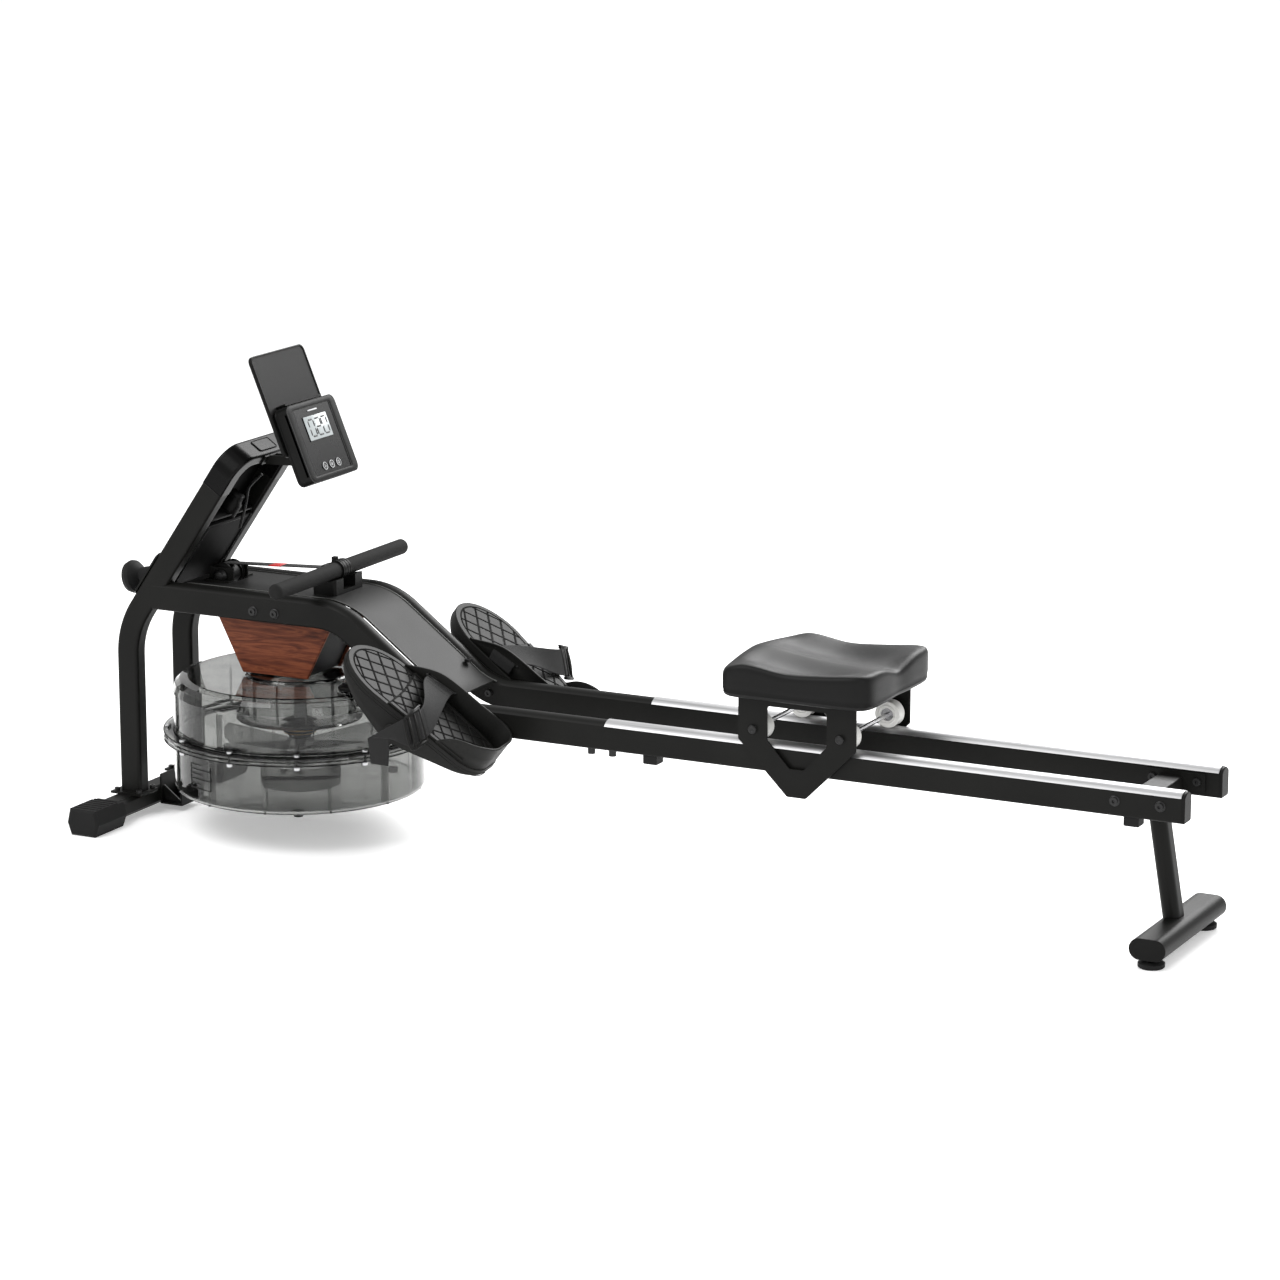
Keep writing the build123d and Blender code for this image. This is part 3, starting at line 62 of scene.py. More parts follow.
# ------------------------------------------------------------------ materials
def principled(name, colour, roughness, metallic=0.0, coat=0.0, transmission=0.0, ior=1.45,
               specular=0.5, sheen=0.0):
    made = bpy.data.materials.new(name)
    made.use_nodes = True
    shader = made.node_tree.nodes["Principled BSDF"]
    for label, value in (
        ("Base Color", (*colour, 1)), ("Roughness", roughness), ("Metallic", metallic),
        ("Coat Weight", coat), ("Coat Roughness", 0.08), ("Transmission Weight", transmission),
        ("IOR", ior), ("Specular IOR Level", specular), ("Sheen Weight", sheen),
    ):
        shader.inputs[label].default_value = value
    return made, made.node_tree, shader


def link(tree, out, into):
    tree.links.new(out, into)


def node(tree, kind, **settings):
    made = tree.nodes.new(kind)
    for key, value in settings.items():
        setattr(made, key, value)
    return made


def noise_texture(tree, scale, detail=4.0, stretch=(1, 1, 1)):
    place = node(tree, "ShaderNodeTexCoord")
    mapping = node(tree, "ShaderNodeMapping")
    mapping.inputs["Scale"].default_value = stretch
    texture = node(tree, "ShaderNodeTexNoise")
    texture.inputs["Scale"].default_value = scale
    texture.inputs["Detail"].default_value = detail
    link(tree, place.outputs["Object"], mapping.inputs["Vector"])
    link(tree, mapping.outputs["Vector"], texture.inputs["Vector"])
    return texture


def ramp(tree, source, stops):
    made = node(tree, "ShaderNodeValToRGB")
    while len(made.color_ramp.elements) < len(stops):
        made.color_ramp.elements.new(0.5)
    for element, (place, colour) in zip(made.color_ramp.elements, stops):
        element.position = place
        element.color = (*colour, 1)
    link(tree, source, made.inputs["Fac"])
    return made


def tint(tree, shader, source, stops):
    shade = ramp(tree, source, stops)
    link(tree, shade.outputs["Color"], shader.inputs["Base Color"])
    return shade


def spread(tree, source, low, high):
    made = node(tree, "ShaderNodeMapRange")
    made.inputs["To Min"].default_value = low
    made.inputs["To Max"].default_value = high
    link(tree, source, made.inputs["Value"])
    return made


def bump(tree, shader, source, strength, distance):
    made = node(tree, "ShaderNodeBump")
    made.inputs["Strength"].default_value = strength
    made.inputs["Distance"].default_value = distance
    link(tree, source, made.inputs["Height"])
    link(tree, made.outputs["Normal"], shader.inputs["Normal"])


def textured(name, colour, roughness, grain=900.0, depth=0.15, vary=0.25, **more):
    """A finish with a fine grain in the bump and slow drift in colour and gloss."""
    made, tree, shader = principled(name, colour, roughness, **more)
    slow = noise_texture(tree, 7.0, 3.0)
    darker = tuple(c * (1 - vary) for c in colour)
    lighter = tuple(min(1.0, c * (1 + vary)) for c in colour)
    tint(tree, shader, slow.outputs["Fac"], [(0.3, darker), (0.7, lighter)])
    gloss = spread(tree, slow.outputs["Fac"], roughness - 0.05, roughness + 0.06)
    link(tree, gloss.outputs["Result"], shader.inputs["Roughness"])
    fine = noise_texture(tree, grain, 2.0)
    bump(tree, shader, fine.outputs["Fac"], depth, 0.0004)
    return made


PAINT = textured("powder_coat", (0.0058, 0.0058, 0.0052), 0.42, grain=1400, depth=0.12, specular=0.14)
DECK = textured("deck_coat", (0.0075, 0.0075, 0.0071), 0.5, grain=1100, depth=0.2, specular=0.2)
RUBBER = textured("rubber_black", (0.007, 0.007, 0.007), 0.62, grain=500, depth=0.2, specular=0.2)
FOAM = textured("grip_foam_black", (0.010, 0.010, 0.0097), 0.8, grain=1800, depth=0.5, specular=0.2)
PLASTIC = textured("moulded_plastic", (0.0045, 0.0045, 0.0043), 0.45, grain=1500, depth=0.25, specular=0.13)
SEAT = textured("seat_skin", (0.0045, 0.0045, 0.0044), 0.45, grain=2200, depth=0.3, specular=0.18)
PEDAL = textured("pedal_moulding", (0.0085, 0.0085, 0.0079), 0.5, grain=1800, depth=0.22, specular=0.17)
# Painted shade: a darker black laid on the bottoms of the pedal and heel cup grooves.
GROOVE_PAINTED_SHADE = textured("groove_painted_shade", (0.0022, 0.0022, 0.0021), 0.7, grain=1800, depth=0.1, specular=0.15)
# Painted highlight: a light grey, glossy look for the lips along the deck's edges, where its rounded edges
# catch the light.
DECK_EDGE_HIGHLIGHT = textured("deck_edge", (0.055, 0.056, 0.053), 0.32, grain=900, depth=0.05, specular=0.4)
GLOSS = textured("gloss_black_plastic", (0.003, 0.003, 0.003), 0.26, grain=40, depth=0.02, specular=0.11)
# The front panel's own black, made darker and less glossy than the other plastics as painted shade for its
# recess between the uprights.
INNER = textured("inner_panel_black_and_painted_shade", (0.0018, 0.0018, 0.0018), 0.6, grain=900, depth=0.2, specular=0.05)
BOLT = textured("black_oxide", (0.022, 0.022, 0.022), 0.35, grain=600, depth=0.05, metallic=0.6)
STEEL = textured("satin_steel", (0.55, 0.55, 0.56), 0.26, grain=600, depth=0.03, metallic=1.0, vary=0.08)
ROLLER = textured("roller_white", (0.72, 0.715, 0.69), 0.38, grain=300, depth=0.05, vary=0.04)
BUTTON = textured("button_black", (0.008, 0.008, 0.008), 0.3, grain=500, depth=0.05, specular=0.4)
CABLE = textured("cable_sheath", (0.008, 0.008, 0.008), 0.5, grain=500, depth=0.1, specular=0.3)


def brushed_aluminium():
    made, tree, shader = principled("bright_strip", (0.46, 0.46, 0.465), 0.42, metallic=1.0)
    lines = noise_texture(tree, 300.0, 3.0, (0.02, 1, 1))
    gloss = spread(tree, lines.outputs["Fac"], 0.36, 0.52)
    link(tree, gloss.outputs["Result"], shader.inputs["Roughness"])
    tint(tree, shader, lines.outputs["Fac"], [(0.3, (0.40, 0.40, 0.405)), (0.7, (0.52, 0.52, 0.525))])
    bump(tree, shader, lines.outputs["Fac"], 0.08, 0.0002)
    return made


def varnished_wood():
    made, tree, shader = principled("reddish_wood", (0.15, 0.038, 0.018), 0.48, coat=0.0, specular=0.2)
    bands = noise_texture(tree, 16.0, 6.0, (0.42, 1, 3.6))
    bands.inputs["Distortion"].default_value = 2.6
    pores = noise_texture(tree, 210.0, 4.0, (0.12, 1, 1.6))
    tone = ramp(tree, bands.outputs["Fac"], [
        (0.28, (0.060, 0.016, 0.009)), (0.44, (0.135, 0.036, 0.017)),
        (0.57, (0.215, 0.062, 0.028)), (0.74, (0.095, 0.025, 0.012)),
    ])
    dark = ramp(tree, pores.outputs["Fac"], [(0.36, (0.55, 0.5, 0.48)), (0.5, (1, 1, 1))])
    mix = node(tree, "ShaderNodeMix", data_type="RGBA", blend_type="MULTIPLY")
    mix.inputs["Factor"].default_value = 0.6
    link(tree, tone.outputs["Color"], mix.inputs[6])
    link(tree, dark.outputs["Color"], mix.inputs[7])
    link(tree, mix.outputs[2], shader.inputs["Base Color"])
    bump(tree, shader, pores.outputs["Fac"], 0.15, 0.0003)
    return made


def smoked_clear(name, dark, light, roughness=0.015):
    made, tree, shader = principled(name, light, roughness, transmission=1.0, ior=1.3)
    slow = noise_texture(tree, 22.0, 3.0)
    tint(tree, shader, slow.outputs["Fac"], [(0.3, dark), (0.7, light)])
    return made


def webbing():
    made, tree, shader = principled("webbing_black", (0.008, 0.008, 0.008), 0.72, specular=0.25, sheen=0.05)
    weave = node(tree, "ShaderNodeTexWave", bands_direction="DIAGONAL")
    weave.inputs["Scale"].default_value = 260.0
    weave.inputs["Distortion"].default_value = 0.6
    place = node(tree, "ShaderNodeTexCoord")
    link(tree, place.outputs["Object"], weave.inputs["Vector"])
    tint(tree, shader, weave.outputs["Fac"], [(0.2, (0.005, 0.005, 0.005)), (0.8, (0.012, 0.012, 0.012))])
    bump(tree, shader, weave.outputs["Fac"], 0.5, 0.0005)
    return made


def liquid_crystal():
    made, tree, shader = principled("lcd_grey_painted_glow", (0.42, 0.46, 0.47), 0.3, coat=0.4)
    slow = noise_texture(tree, 30.0, 2.0)
    shade = tint(tree, shader, slow.outputs["Fac"], [(0.3, (0.32, 0.35, 0.355)), (0.7, (0.38, 0.41, 0.415))])
    # Painted glow: the screen's grey also goes in as a faint emission, though the screen is no lamp.
    link(tree, shade.outputs["Color"], shader.inputs["Emission Color"])
    shader.inputs["Emission Strength"].default_value = 0.04
    return made


ALUMINIUM = brushed_aluminium()
WOOD = varnished_wood()
CLEAR = smoked_clear("smoked_clear_plastic", (0.35, 0.354, 0.347), (0.45, 0.455, 0.446))
CLEAR_DARK = smoked_clear("smoked_inner_plastic", (0.30, 0.303, 0.30), (0.40, 0.403, 0.40), 0.03)
CLEAR_PALE = smoked_clear("clear_edges", (0.78, 0.79, 0.78), (0.88, 0.89, 0.88), 0.08)
WEBBING = webbing()
LCD = liquid_crystal()
RED = textured("red_mark", (0.55, 0.02, 0.02), 0.6, grain=900, depth=0.2)
PRINT = textured("printed_grey", (0.62, 0.63, 0.64), 0.5, grain=600, depth=0.02)
SEGMENT = textured("display_segment", (0.012, 0.013, 0.014), 0.35, grain=400, depth=0.02)
BRASS = textured("amber_ring", (0.42, 0.25, 0.06), 0.4, grain=400, depth=0.05, vary=0.1)

CAD_LOOKS = (
    (PAINT, (
        "front_foot_bar upright_left upright_right beam_left beam_right rail_left "
        "rail_right rear_stand bumper_plate pulley_bracket console_arm carriage_frame")),
    (RUBBER, (
        "foot_caps storage_bumper tank_feet seat_stops levelling_foot_left levelling_foot_right "
        "tank_gasket")),
    (FOAM, "handle_grips"),
    (DECK, "deck_cover"),
    (PLASTIC, (
        "handle_rest drive_housing tube_end_caps pedal_left pedal_right "
        "heel_cup_left heel_cup_right tablet_holder console_shell filler_plug strap_clamp "
        "guide_pulley strap_spool")),
    (INNER, "front_panel"),
    (GLOSS, "arch_cap console_lens"),
    (BUTTON, "console_button_left console_button_middle console_button_right"),
    (CLEAR, "tank_bowl tank_dome"),
    (CLEAR_DARK, "impeller"),
    (WOOD, "wood_panels"),
    (ALUMINIUM, "rail_strips"),
    (BOLT, "fasteners"),
    (STEEL, "handle_bar drive_shaft roller_bearings roller_axles"),
    (ROLLER, "roller_front_left roller_front_right roller_rear_left roller_rear_right"),
    (WEBBING, "pull_strap foot_strap_left foot_strap_right"),
    (CABLE, "sensor_cable"),
    (LCD, "display_panel"),
    (SEAT, "seat_pad"),
)
for look, names in CAD_LOOKS:
    for name in names.split():
        data = nodes[name].data
        data.materials.clear()
        data.materials.append(look)
        for polygon in data.polygons:
            polygon.use_smooth = True


# ------------------------------------------------------------------ mesh helpers
def smooth_at(points, t):
    """A Catmull-Rom curve through (place, value) pairs, read at t."""
    last = len(points) - 2
    index = max(0, min(last, sum(1 for place, _ in points[1:-1] if place <= t)))
    (x0, y0), (x1, y1) = points[index], points[index + 1]
    before = points[max(index - 1, 0)]
    after = points[min(index + 2, len(points) - 1)]
    slope0 = (y1 - before[1]) / (x1 - before[0])
    slope1 = (after[1] - y0) / (after[0] - x0)
    width = x1 - x0
    u = max(0.0, min(1.0, (t - x0) / width))
    a = 2 * u**3 - 3 * u**2 + 1
    b = u**3 - 2 * u**2 + u
    c = -2 * u**3 + 3 * u**2
    d = u**3 - u**2
    return a * y0 + b * width * slope0 + c * y1 + d * width * slope1


def step(low, high, value):
    u = max(0.0, min(1.0, (value - low) / (high - low)))
    return u * u * (3 - 2 * u)


def joined(parts):
    verts, faces = [], []
    for more_verts, more_faces in parts:
        shift = len(verts)
        verts.extend(more_verts)
        faces.extend(tuple(i + shift for i in face) for face in more_faces)
    return verts, faces


def solid(name, parts, look, body):
    """One visual piece from parts that are each (points, faces); body is None for a piece left unattached.
    """
    verts, faces = joined(parts)
    mesh = bpy.data.meshes.new(name)
    mesh.from_pydata([tuple(v) for v in verts], [], faces)
    shape = bmesh.new()
    shape.from_mesh(mesh)
    bmesh.ops.remove_doubles(shape, verts=shape.verts, dist=1e-6)
    bmesh.ops.recalc_face_normals(shape, faces=shape.faces)
    for face in shape.faces:
        face.smooth = True
    shape.to_mesh(mesh)
    shape.free()
    mesh.materials.append(look)
    made = bpy.data.objects.new(name, mesh)
    bpy.context.scene.collection.objects.link(made)
    if body:
        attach(made, body)
    return made


def stack(rings, closed=False):
    """Faces between rings of equal count; the first and last are capped unless closed."""
    verts, faces = [], []
    count = len(rings[0])
    for ring in rings:
        verts.extend(ring)
    layers = len(rings)
    for i in range(layers if closed else layers - 1):
        a, b = i * count, ((i + 1) % layers) * count
        for j in range(count):
            k = (j + 1) % count
            faces.append((a + j, a + k, b + k, b + j))
    if not closed:
        faces.append(tuple(range(count - 1, -1, -1)))
        faces.append(tuple(range((layers - 1) * count, layers * count)))
    return verts, faces


def open_ended(part):
    """The same part without its two end caps."""
    verts, faces = part
    return verts, [face for face in faces if len(face) == 4]


def rounded_loop(half_x, half_y, radius, steps=6):
    points = []
    corners = ((1, 1, 0), (-1, 1, 90), (-1, -1, 180), (1, -1, 270))
    for sx, sy, start in corners:
        for i in range(steps + 1):
            turn = math.radians(start + 90 * i / steps)
            points.append((sx * (half_x - radius) + radius * math.cos(turn),
                           sy * (half_y - radius) + radius * math.sin(turn)))
    return points


def slab(place, half_x, half_y, radius, low, high, edge=0.0006, steps=6):
    """A rounded plate with softened rims; place maps (x, y, z) into the row's frame."""
    rings = []
    for inset, z in ((edge, low), (edge * 0.3, low + edge * 0.3), (0, low + edge),
                     (0, high - edge), (edge * 0.3, high - edge * 0.3), (edge, high)):
        loop = rounded_loop(half_x - inset, half_y - inset, max(radius - inset, 1e-4), steps)
        rings.append([place(x, y, z) for x, y in loop])
    return stack(rings)


def turned(place, profile, count=48):
    """A closed solid of revolution; profile is (radius, height) and place maps its axes."""
    rings = []
    for radius, height in profile:
        rings.append([
            place(radius * math.cos(2 * math.pi * i / count),
                  radius * math.sin(2 * math.pi * i / count), height) for i in range(count)])
    return stack(rings)


def ring_of(place, radius, middle, thickness, count=64, sides=10):
    rings = []
    for i in range(count):
        turn = 2 * math.pi * i / count
        loop = []
        for j in range(sides):
            other = 2 * math.pi * j / sides
            r = radius + thickness * math.cos(other)
            loop.append(place(r * math.cos(turn), r * math.sin(turn),
                              middle + thickness * math.sin(other)))
        rings.append(loop)
    return stack(rings, closed=True)


def bead(points, radius, sides=10):
    """A round bar along points in the row's frame."""
    rings = []
    normal = None
    for i, point in enumerate(points):
        ahead = points[min(i + 1, len(points) - 1)] - points[max(i - 1, 0)]
        ahead = ahead.normalized()
        if normal is None:
            normal = ahead.orthogonal().normalized()
        normal = (normal - ahead * normal.dot(ahead)).normalized()
        side = ahead.cross(normal)
        rings.append([
            point + radius * (math.cos(2 * math.pi * j / sides) * normal
                              + math.sin(2 * math.pi * j / sides) * side)
            for j in range(sides)])
    return stack(rings)


def ribbon(stations, thickness):
    """A flat band: each station is (centre, half-width vector, unit normal)."""
    rings = []
    for centre, half, normal in stations:
        side = half.normalized()
        t = thickness / 2
        rings.append([
            centre + half - side * t * 0.4 + normal * t * 0.7, centre + half,
            centre + half - side * t * 0.4 - normal * t * 0.7,
            centre + half * 0.9 - normal * t, centre - normal * t * 0.92,
            centre - half * 0.9 - normal * t,
            centre - half + side * t * 0.4 - normal * t * 0.7, centre - half,
            centre - half + side * t * 0.4 + normal * t * 0.7,
            centre - half * 0.9 + normal * t, centre + normal * t * 0.92,
            centre + half * 0.9 + normal * t,
        ])
    return stack(rings)


def along_y(x, y, z, sign=1):
    centre = at(x, y, z)
    return lambda u, v, w: centre + Vector((u, sign * w, v))


def both_sides(x, y, z, profile, count):
    """The same turned piece on the right and the left, facing outwards."""
    return [turned(along_y(x, side * y, z, side), profile, count) for side in (1, -1)]


def with_normals(stations):
    """Adds the band's normal to each (centre, half-width vector) pair."""
    made = []
    for i, (centre, half) in enumerate(stations):
        ahead = stations[min(i + 1, len(stations) - 1)][0] - stations[max(i - 1, 0)][0]
        made.append((centre, half, ahead.cross(half).normalized()))
    return made


# ------------------------------------------------------------------ pedals
PEDAL_TURN = math.atan2(0.152, 0.202)
PEDAL_SIN, PEDAL_COS = math.sin(PEDAL_TURN), math.cos(PEDAL_TURN)
PEDAL_X, PEDAL_Y, PEDAL_Z = 0.222, 0.188, 0.388
TOE_OUT, TOE_PIVOT = math.radians(5.06), 0.037
TOE_SIN, TOE_COS = math.sin(TOE_OUT), math.cos(TOE_OUT)
SOLE_LENGTH, TOE_LENGTH, HEEL_RADIUS = 0.314, 0.090, 0.042
TOE_HALF, HEEL_HALF = 0.074, 0.058
WEDGE_CREST = 0.153
GRID_LEAN = 0.82
PEDAL_TREAD, CUP_TREAD = (0.0115, 0.0262), (0.0125, 0.0215)


def pedal_point(side, a, w, h):
    """a runs down the tread, w outwards from its middle, h out of it; the toes point outwards."""
    down = TOE_PIVOT + (a - TOE_PIVOT) * TOE_COS + w * TOE_SIN
    out = w * TOE_COS - (a - TOE_PIVOT) * TOE_SIN
    return at(PEDAL_X + down * PEDAL_COS + h * PEDAL_SIN, side * (PEDAL_Y + out),
              PEDAL_Z - down * PEDAL_SIN + h * PEDAL_COS)


def pedal_bar(side, places, radius, sides=10):
    return bead([pedal_point(side, *place) for place in places], radius, sides)


def side_half(a):
    return TOE_HALF + (HEEL_HALF - TOE_HALF) * max(0.0, a - TOE_LENGTH) / (SOLE_LENGTH - TOE_LENGTH)


def sole_half(a, inset=0.0):
    if a < TOE_LENGTH:
        u = (TOE_LENGTH - a) / (TOE_LENGTH - inset)
        return (TOE_HALF - inset) * math.sqrt(max(0.0, 1 - u * u))
    radius = HEEL_RADIUS - inset
    turned_in = a - (SOLE_LENGTH - inset - radius)
    half = side_half(a) - inset
    if turned_in > 0:
        half -= radius - math.sqrt(max(0.0, radius * radius - turned_in * turned_in))
    return half


def sole_edge(a, w):
    """Roughly how far a place is inside the sole's outline."""
    half = side_half(a)
    if a < TOE_LENGTH:
        reach = math.hypot((a - TOE_LENGTH) / TOE_LENGTH, w / TOE_HALF)
        length = math.hypot(a - TOE_LENGTH, w)
        return (length / reach - length) if reach > 1e-6 else TOE_HALF
    in_a = a - (SOLE_LENGTH - HEEL_RADIUS)
    in_w = abs(w) - (half - HEEL_RADIUS)
    if in_a > 0 and in_w > 0:
        return HEEL_RADIUS - math.hypot(in_a, in_w)
    return min(SOLE_LENGTH - a, half - abs(w))


def groove(distance, width, depth):
    return depth * (1 - step(0.35 * width, width, abs(distance)))


def tread_depth(a, w, rim, pitch):
    """How far the diamond grid and its border are cut into the tread."""
    edge = sole_edge(a, w)
    cut = groove(edge - rim, 0.0015, 0.0019)
    if edge > rim + 0.0006:
        for sign in (1, -1):
            across = (a * math.cos(GRID_LEAN) + sign * w * math.sin(GRID_LEAN)) / pitch
            nearest = (across - round(across)) * pitch
            cut = max(cut, groove(nearest, 0.0016, 0.0023))
    return cut


def sole_loop(inset, count=180):
    """The outline as (a, w) pairs from the toe, out one side and back up the other."""
    loop = []
    flat = 12
    around = (count - 2 * flat) // 2
    for sign in (1, -1):
        half = []
        for i in range(around):
            a = inset + (SOLE_LENGTH - 2 * inset) * (1 - math.cos(math.pi * i / around)) / 2
            half.append((a, sole_half(a, inset) * sign))
        end = SOLE_LENGTH - inset
        width = sole_half(end, inset)
        half += [(end, sign * width * (1 - i / flat)) for i in range(flat)]
        if sign > 0:
            loop += half
        else:
            loop += [(end, 0.0)] + half[:0:-1]
    return loop


def wedge_depth(a):
    return smooth_at([(0, 0.013), (0.142, 0.056), (0.150, 0.0578), (0.164, 0.056), (0.314, 0.010)], a)


def grid_faces(rows, columns):
    """Faces over a grid of points that is stored row by row."""
    faces = []
    for i in range(rows):
        for j in range(columns):
            k = i * (columns + 1) + j
            faces.append((k, k + 1, k + columns + 2, k + columns + 1))
    return faces


def tread_field(side, inset, rows=300, columns=130):
    """The grooved top skin as a grid whose boundary is the sole's outline."""
    verts = []
    for i in range(rows + 1):
        along = (1 - math.cos(math.pi * i / rows)) / 2
        a = inset + (SOLE_LENGTH - 2 * inset) * along
        half = sole_half(a, inset)
        for j in range(columns + 1):
            w = half * math.sin(math.pi / 2 * (2 * j / columns - 1))
            verts.append(pedal_point(side, a, w, -tread_depth(a, w, *PEDAL_TREAD)))
    return verts, grid_faces(rows, columns)


def shade_grooves(made, side, tread, lowest):
    """Give the faces at the bottom of the grooves the darker look, which is painted shade."""
    made.data.materials.append(GROOVE_PAINTED_SHADE)
    start = at(PEDAL_X, 0, PEDAL_Z)
    for polygon in made.data.polygons:
        gap = polygon.center - start
        height = gap.x * PEDAL_SIN + gap.z * PEDAL_COS
        down = gap.x * PEDAL_COS - gap.z * PEDAL_SIN - TOE_PIVOT
        out = side * gap.y - PEDAL_Y
        if lowest < height < lowest + 0.0062:
            a = TOE_PIVOT + down * TOE_COS - out * TOE_SIN
            w = down * TOE_SIN + out * TOE_COS
            if sole_edge(a, w) > 0.003 and tread_depth(a, w, *tread) > 0.0010:
                polygon.material_index = 1


def sole_ring(side, inset, height):
    """The outline, set in; height gives the height of each place along the tread."""
    return [pedal_point(side, a, w, height(a)) for a, w in sole_loop(inset)]


def pedal_walls(side):
    """The rolled upper edge and the wedge-shaped skirt, and the ceiling inside it."""
    roll = 0.0022
    rings = [sole_ring(side, inset, lambda a: -drop)
             for inset, drop in ((0.0016, 0.0), (0.0006, 0.0003), (0.0001, 0.0010), (0.0, roll))]
    rings += [sole_ring(side, 0.0, lambda a: -roll - part * (wedge_depth(a) - roll))
              for part in (0.35, 0.7, 1.0)]
    rings.append(sole_ring(side, 0.0012, lambda a: -wedge_depth(a) - 0.0006))
    rings.append(sole_ring(side, 0.0032, lambda a: -wedge_depth(a)))
    ceiling = sole_ring(side, 0.0036, lambda a: -0.0045)
    rings.append(ceiling)
    count = len(ceiling)
    strips = [(i, (i + 1) % count, (count - 1 - i) % count, (count - i) % count)
              for i in range(1, count // 2)]
    return open_ended(stack(rings)), (ceiling, strips)


def pedal_ribs(side):
    ribs = []
    for a, depth, thickness in (
        (0.062, 0.027, 0.003), (0.106, 0.040, 0.003), (0.200, 0.040, 0.003), (0.240, 0.028, 0.003),
        (0.275, 0.018, 0.003), (WEDGE_CREST, wedge_depth(WEDGE_CREST) - 0.004, 0.004),
    ):
        ribs.append(slab(
            lambda u, v, w: pedal_point(side, a + w, v, -0.004 - depth / 2 + u),
            depth / 2, sole_half(a) - 0.003, 0.001, -thickness / 2, thickness / 2, 0.0004, 2))
    return ribs


def pedal_shell(side, word):
    skirt, ceiling = pedal_walls(side)
    parts = [skirt, tread_field(side, 0.0016), ceiling, *pedal_ribs(side)]
    made = solid(f"{word}_pedal_moulding", parts, PEDAL, "frame")
    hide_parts(f"pedal_{word}")
    shade_grooves(made, side, PEDAL_TREAD, -0.0035)
    line = sole_loop(-0.0001, 120)[2:58]
    trim = [pedal_bar(side, [(a, w, -drop) for a, w in line], 0.0008, 6) for drop in (0.0075, 0.0125)]
    knob = [(0.001, 0), (0.011, 0), (0.012, 0.0008), (0.012, 0.003), (0.0105, 0.004), (0.001, 0.004)]
    trim.append(turned(lambda u, v, w: pedal_point(
        side, WEDGE_CREST + u, side_half(WEDGE_CREST) + w - 0.001, -0.035 + v), knob))
    solid(f"{word}_pedal_trim", trim, PEDAL, "frame")
    spacer = [(0.001, 0), (0.0135, 0), (0.0145, 0.001), (0.0145, 0.004), (0.0125, 0.005),
              (0.0125, 0.020), (0.001, 0.020)]
    spacers = [turned(along_y(x, side * 0.1041, z, side), spacer, 32)
               for x, z in ((0.283, 0.3019), (0.341, 0.262))]
    solid(f"{word}_pedal_spacers", spacers, PEDAL, "frame")


# ------------------------------------------------------------------ heel cups
CUP_GAP, CUP_WALL, CUP_CORNER = 0.0014, 0.0030, 0.278
CUP_END = SOLE_LENGTH - CUP_GAP
CUP_INNER_START, CUP_OUTER_START = 0.0785, 0.224
CUP_SOLE_END, CUP_SOLE_LIFT = 0.3118, 0.0042
INNER_RIM = [(0.076, 0.0), (0.118, 0.026), (0.144, 0.037), (0.180, 0.042), (0.222, 0.044),
             (0.260, 0.047), (0.300, 0.050), (0.322, 0.050)]
OUTER_RIM = [(0.222, 0.0), (0.238, 0.020), (0.258, 0.034), (0.285, 0.044), (0.304, 0.049),
             (0.322, 0.050)]


def cup_height(a, rim):
    """Height of the cup's wall above the tread; rim is its inner or outer line."""
    return 0.0004 if a < rim[0][0] else max(0.0036, smooth_at(rim, a))


def cup_walk():
    """(along, side, height) from the cup's front on the inner side round the heel."""
    inner = [CUP_INNER_START + (CUP_CORNER - CUP_INNER_START) * i / 40 for i in range(40)]
    corner = [CUP_CORNER + (CUP_END - CUP_CORNER) * math.sin(math.pi / 2 * i / 14) for i in range(15)]
    outer = [CUP_OUTER_START + (CUP_CORNER - CUP_OUTER_START) * i / 16 for i in range(16)]
    walk = [(a, -1, cup_height(a, INNER_RIM)) for a in inner + corner]
    walk += [(CUP_END, -1 + i / 10, cup_height(CUP_END, INNER_RIM)) for i in range(1, 20)]
    walk += [(a, 1, cup_height(a, OUTER_RIM)) for a in (outer + corner)[::-1]]
    return walk


def cup_place(a, way, inset):
    """A place on the cup's wall, set in from its outer face."""
    end = CUP_END - inset
    near = min(a, end)
    if a > CUP_CORNER:
        near = CUP_CORNER + (a - CUP_CORNER) * (end - CUP_CORNER) / (CUP_END - CUP_CORNER)
    near = min(near, end)
    return near, way * sole_half(near, CUP_GAP + inset)


def cup_walls(side):
    """The wall round the heel, which leans out a little towards its beaded rim."""
    rings = []
    for a, way, height in cup_walk():
        outer, inner = cup_place(a, way, 0.0), cup_place(a, way, CUP_WALL)
        flare_a, flare_w = outer[0] - inner[0], outer[1] - inner[1]
        size = max(math.hypot(flare_a, flare_w), 1e-6)
        reach = 0.0013 * height / 0.050
        section = (
            (outer, 0.0, 0.0005), (outer, reach * 0.5, height * 0.5), (outer, reach, height - 0.0024),
            (outer, reach + 0.0008, height - 0.0018), (outer, reach + 0.0008, height - 0.0006),
            (outer, reach + 0.0002, height), (inner, reach, height),
            (inner, reach - 0.0003, height - 0.0008), (inner, reach * 0.5, height * 0.5),
            (inner, 0.0, 0.0005),
        )
        rings.append([
            pedal_point(side, place[0] + flare_a / size * shift, place[1] + flare_w / size * shift, up)
            for place, shift, up in section])
    return stack(rings)


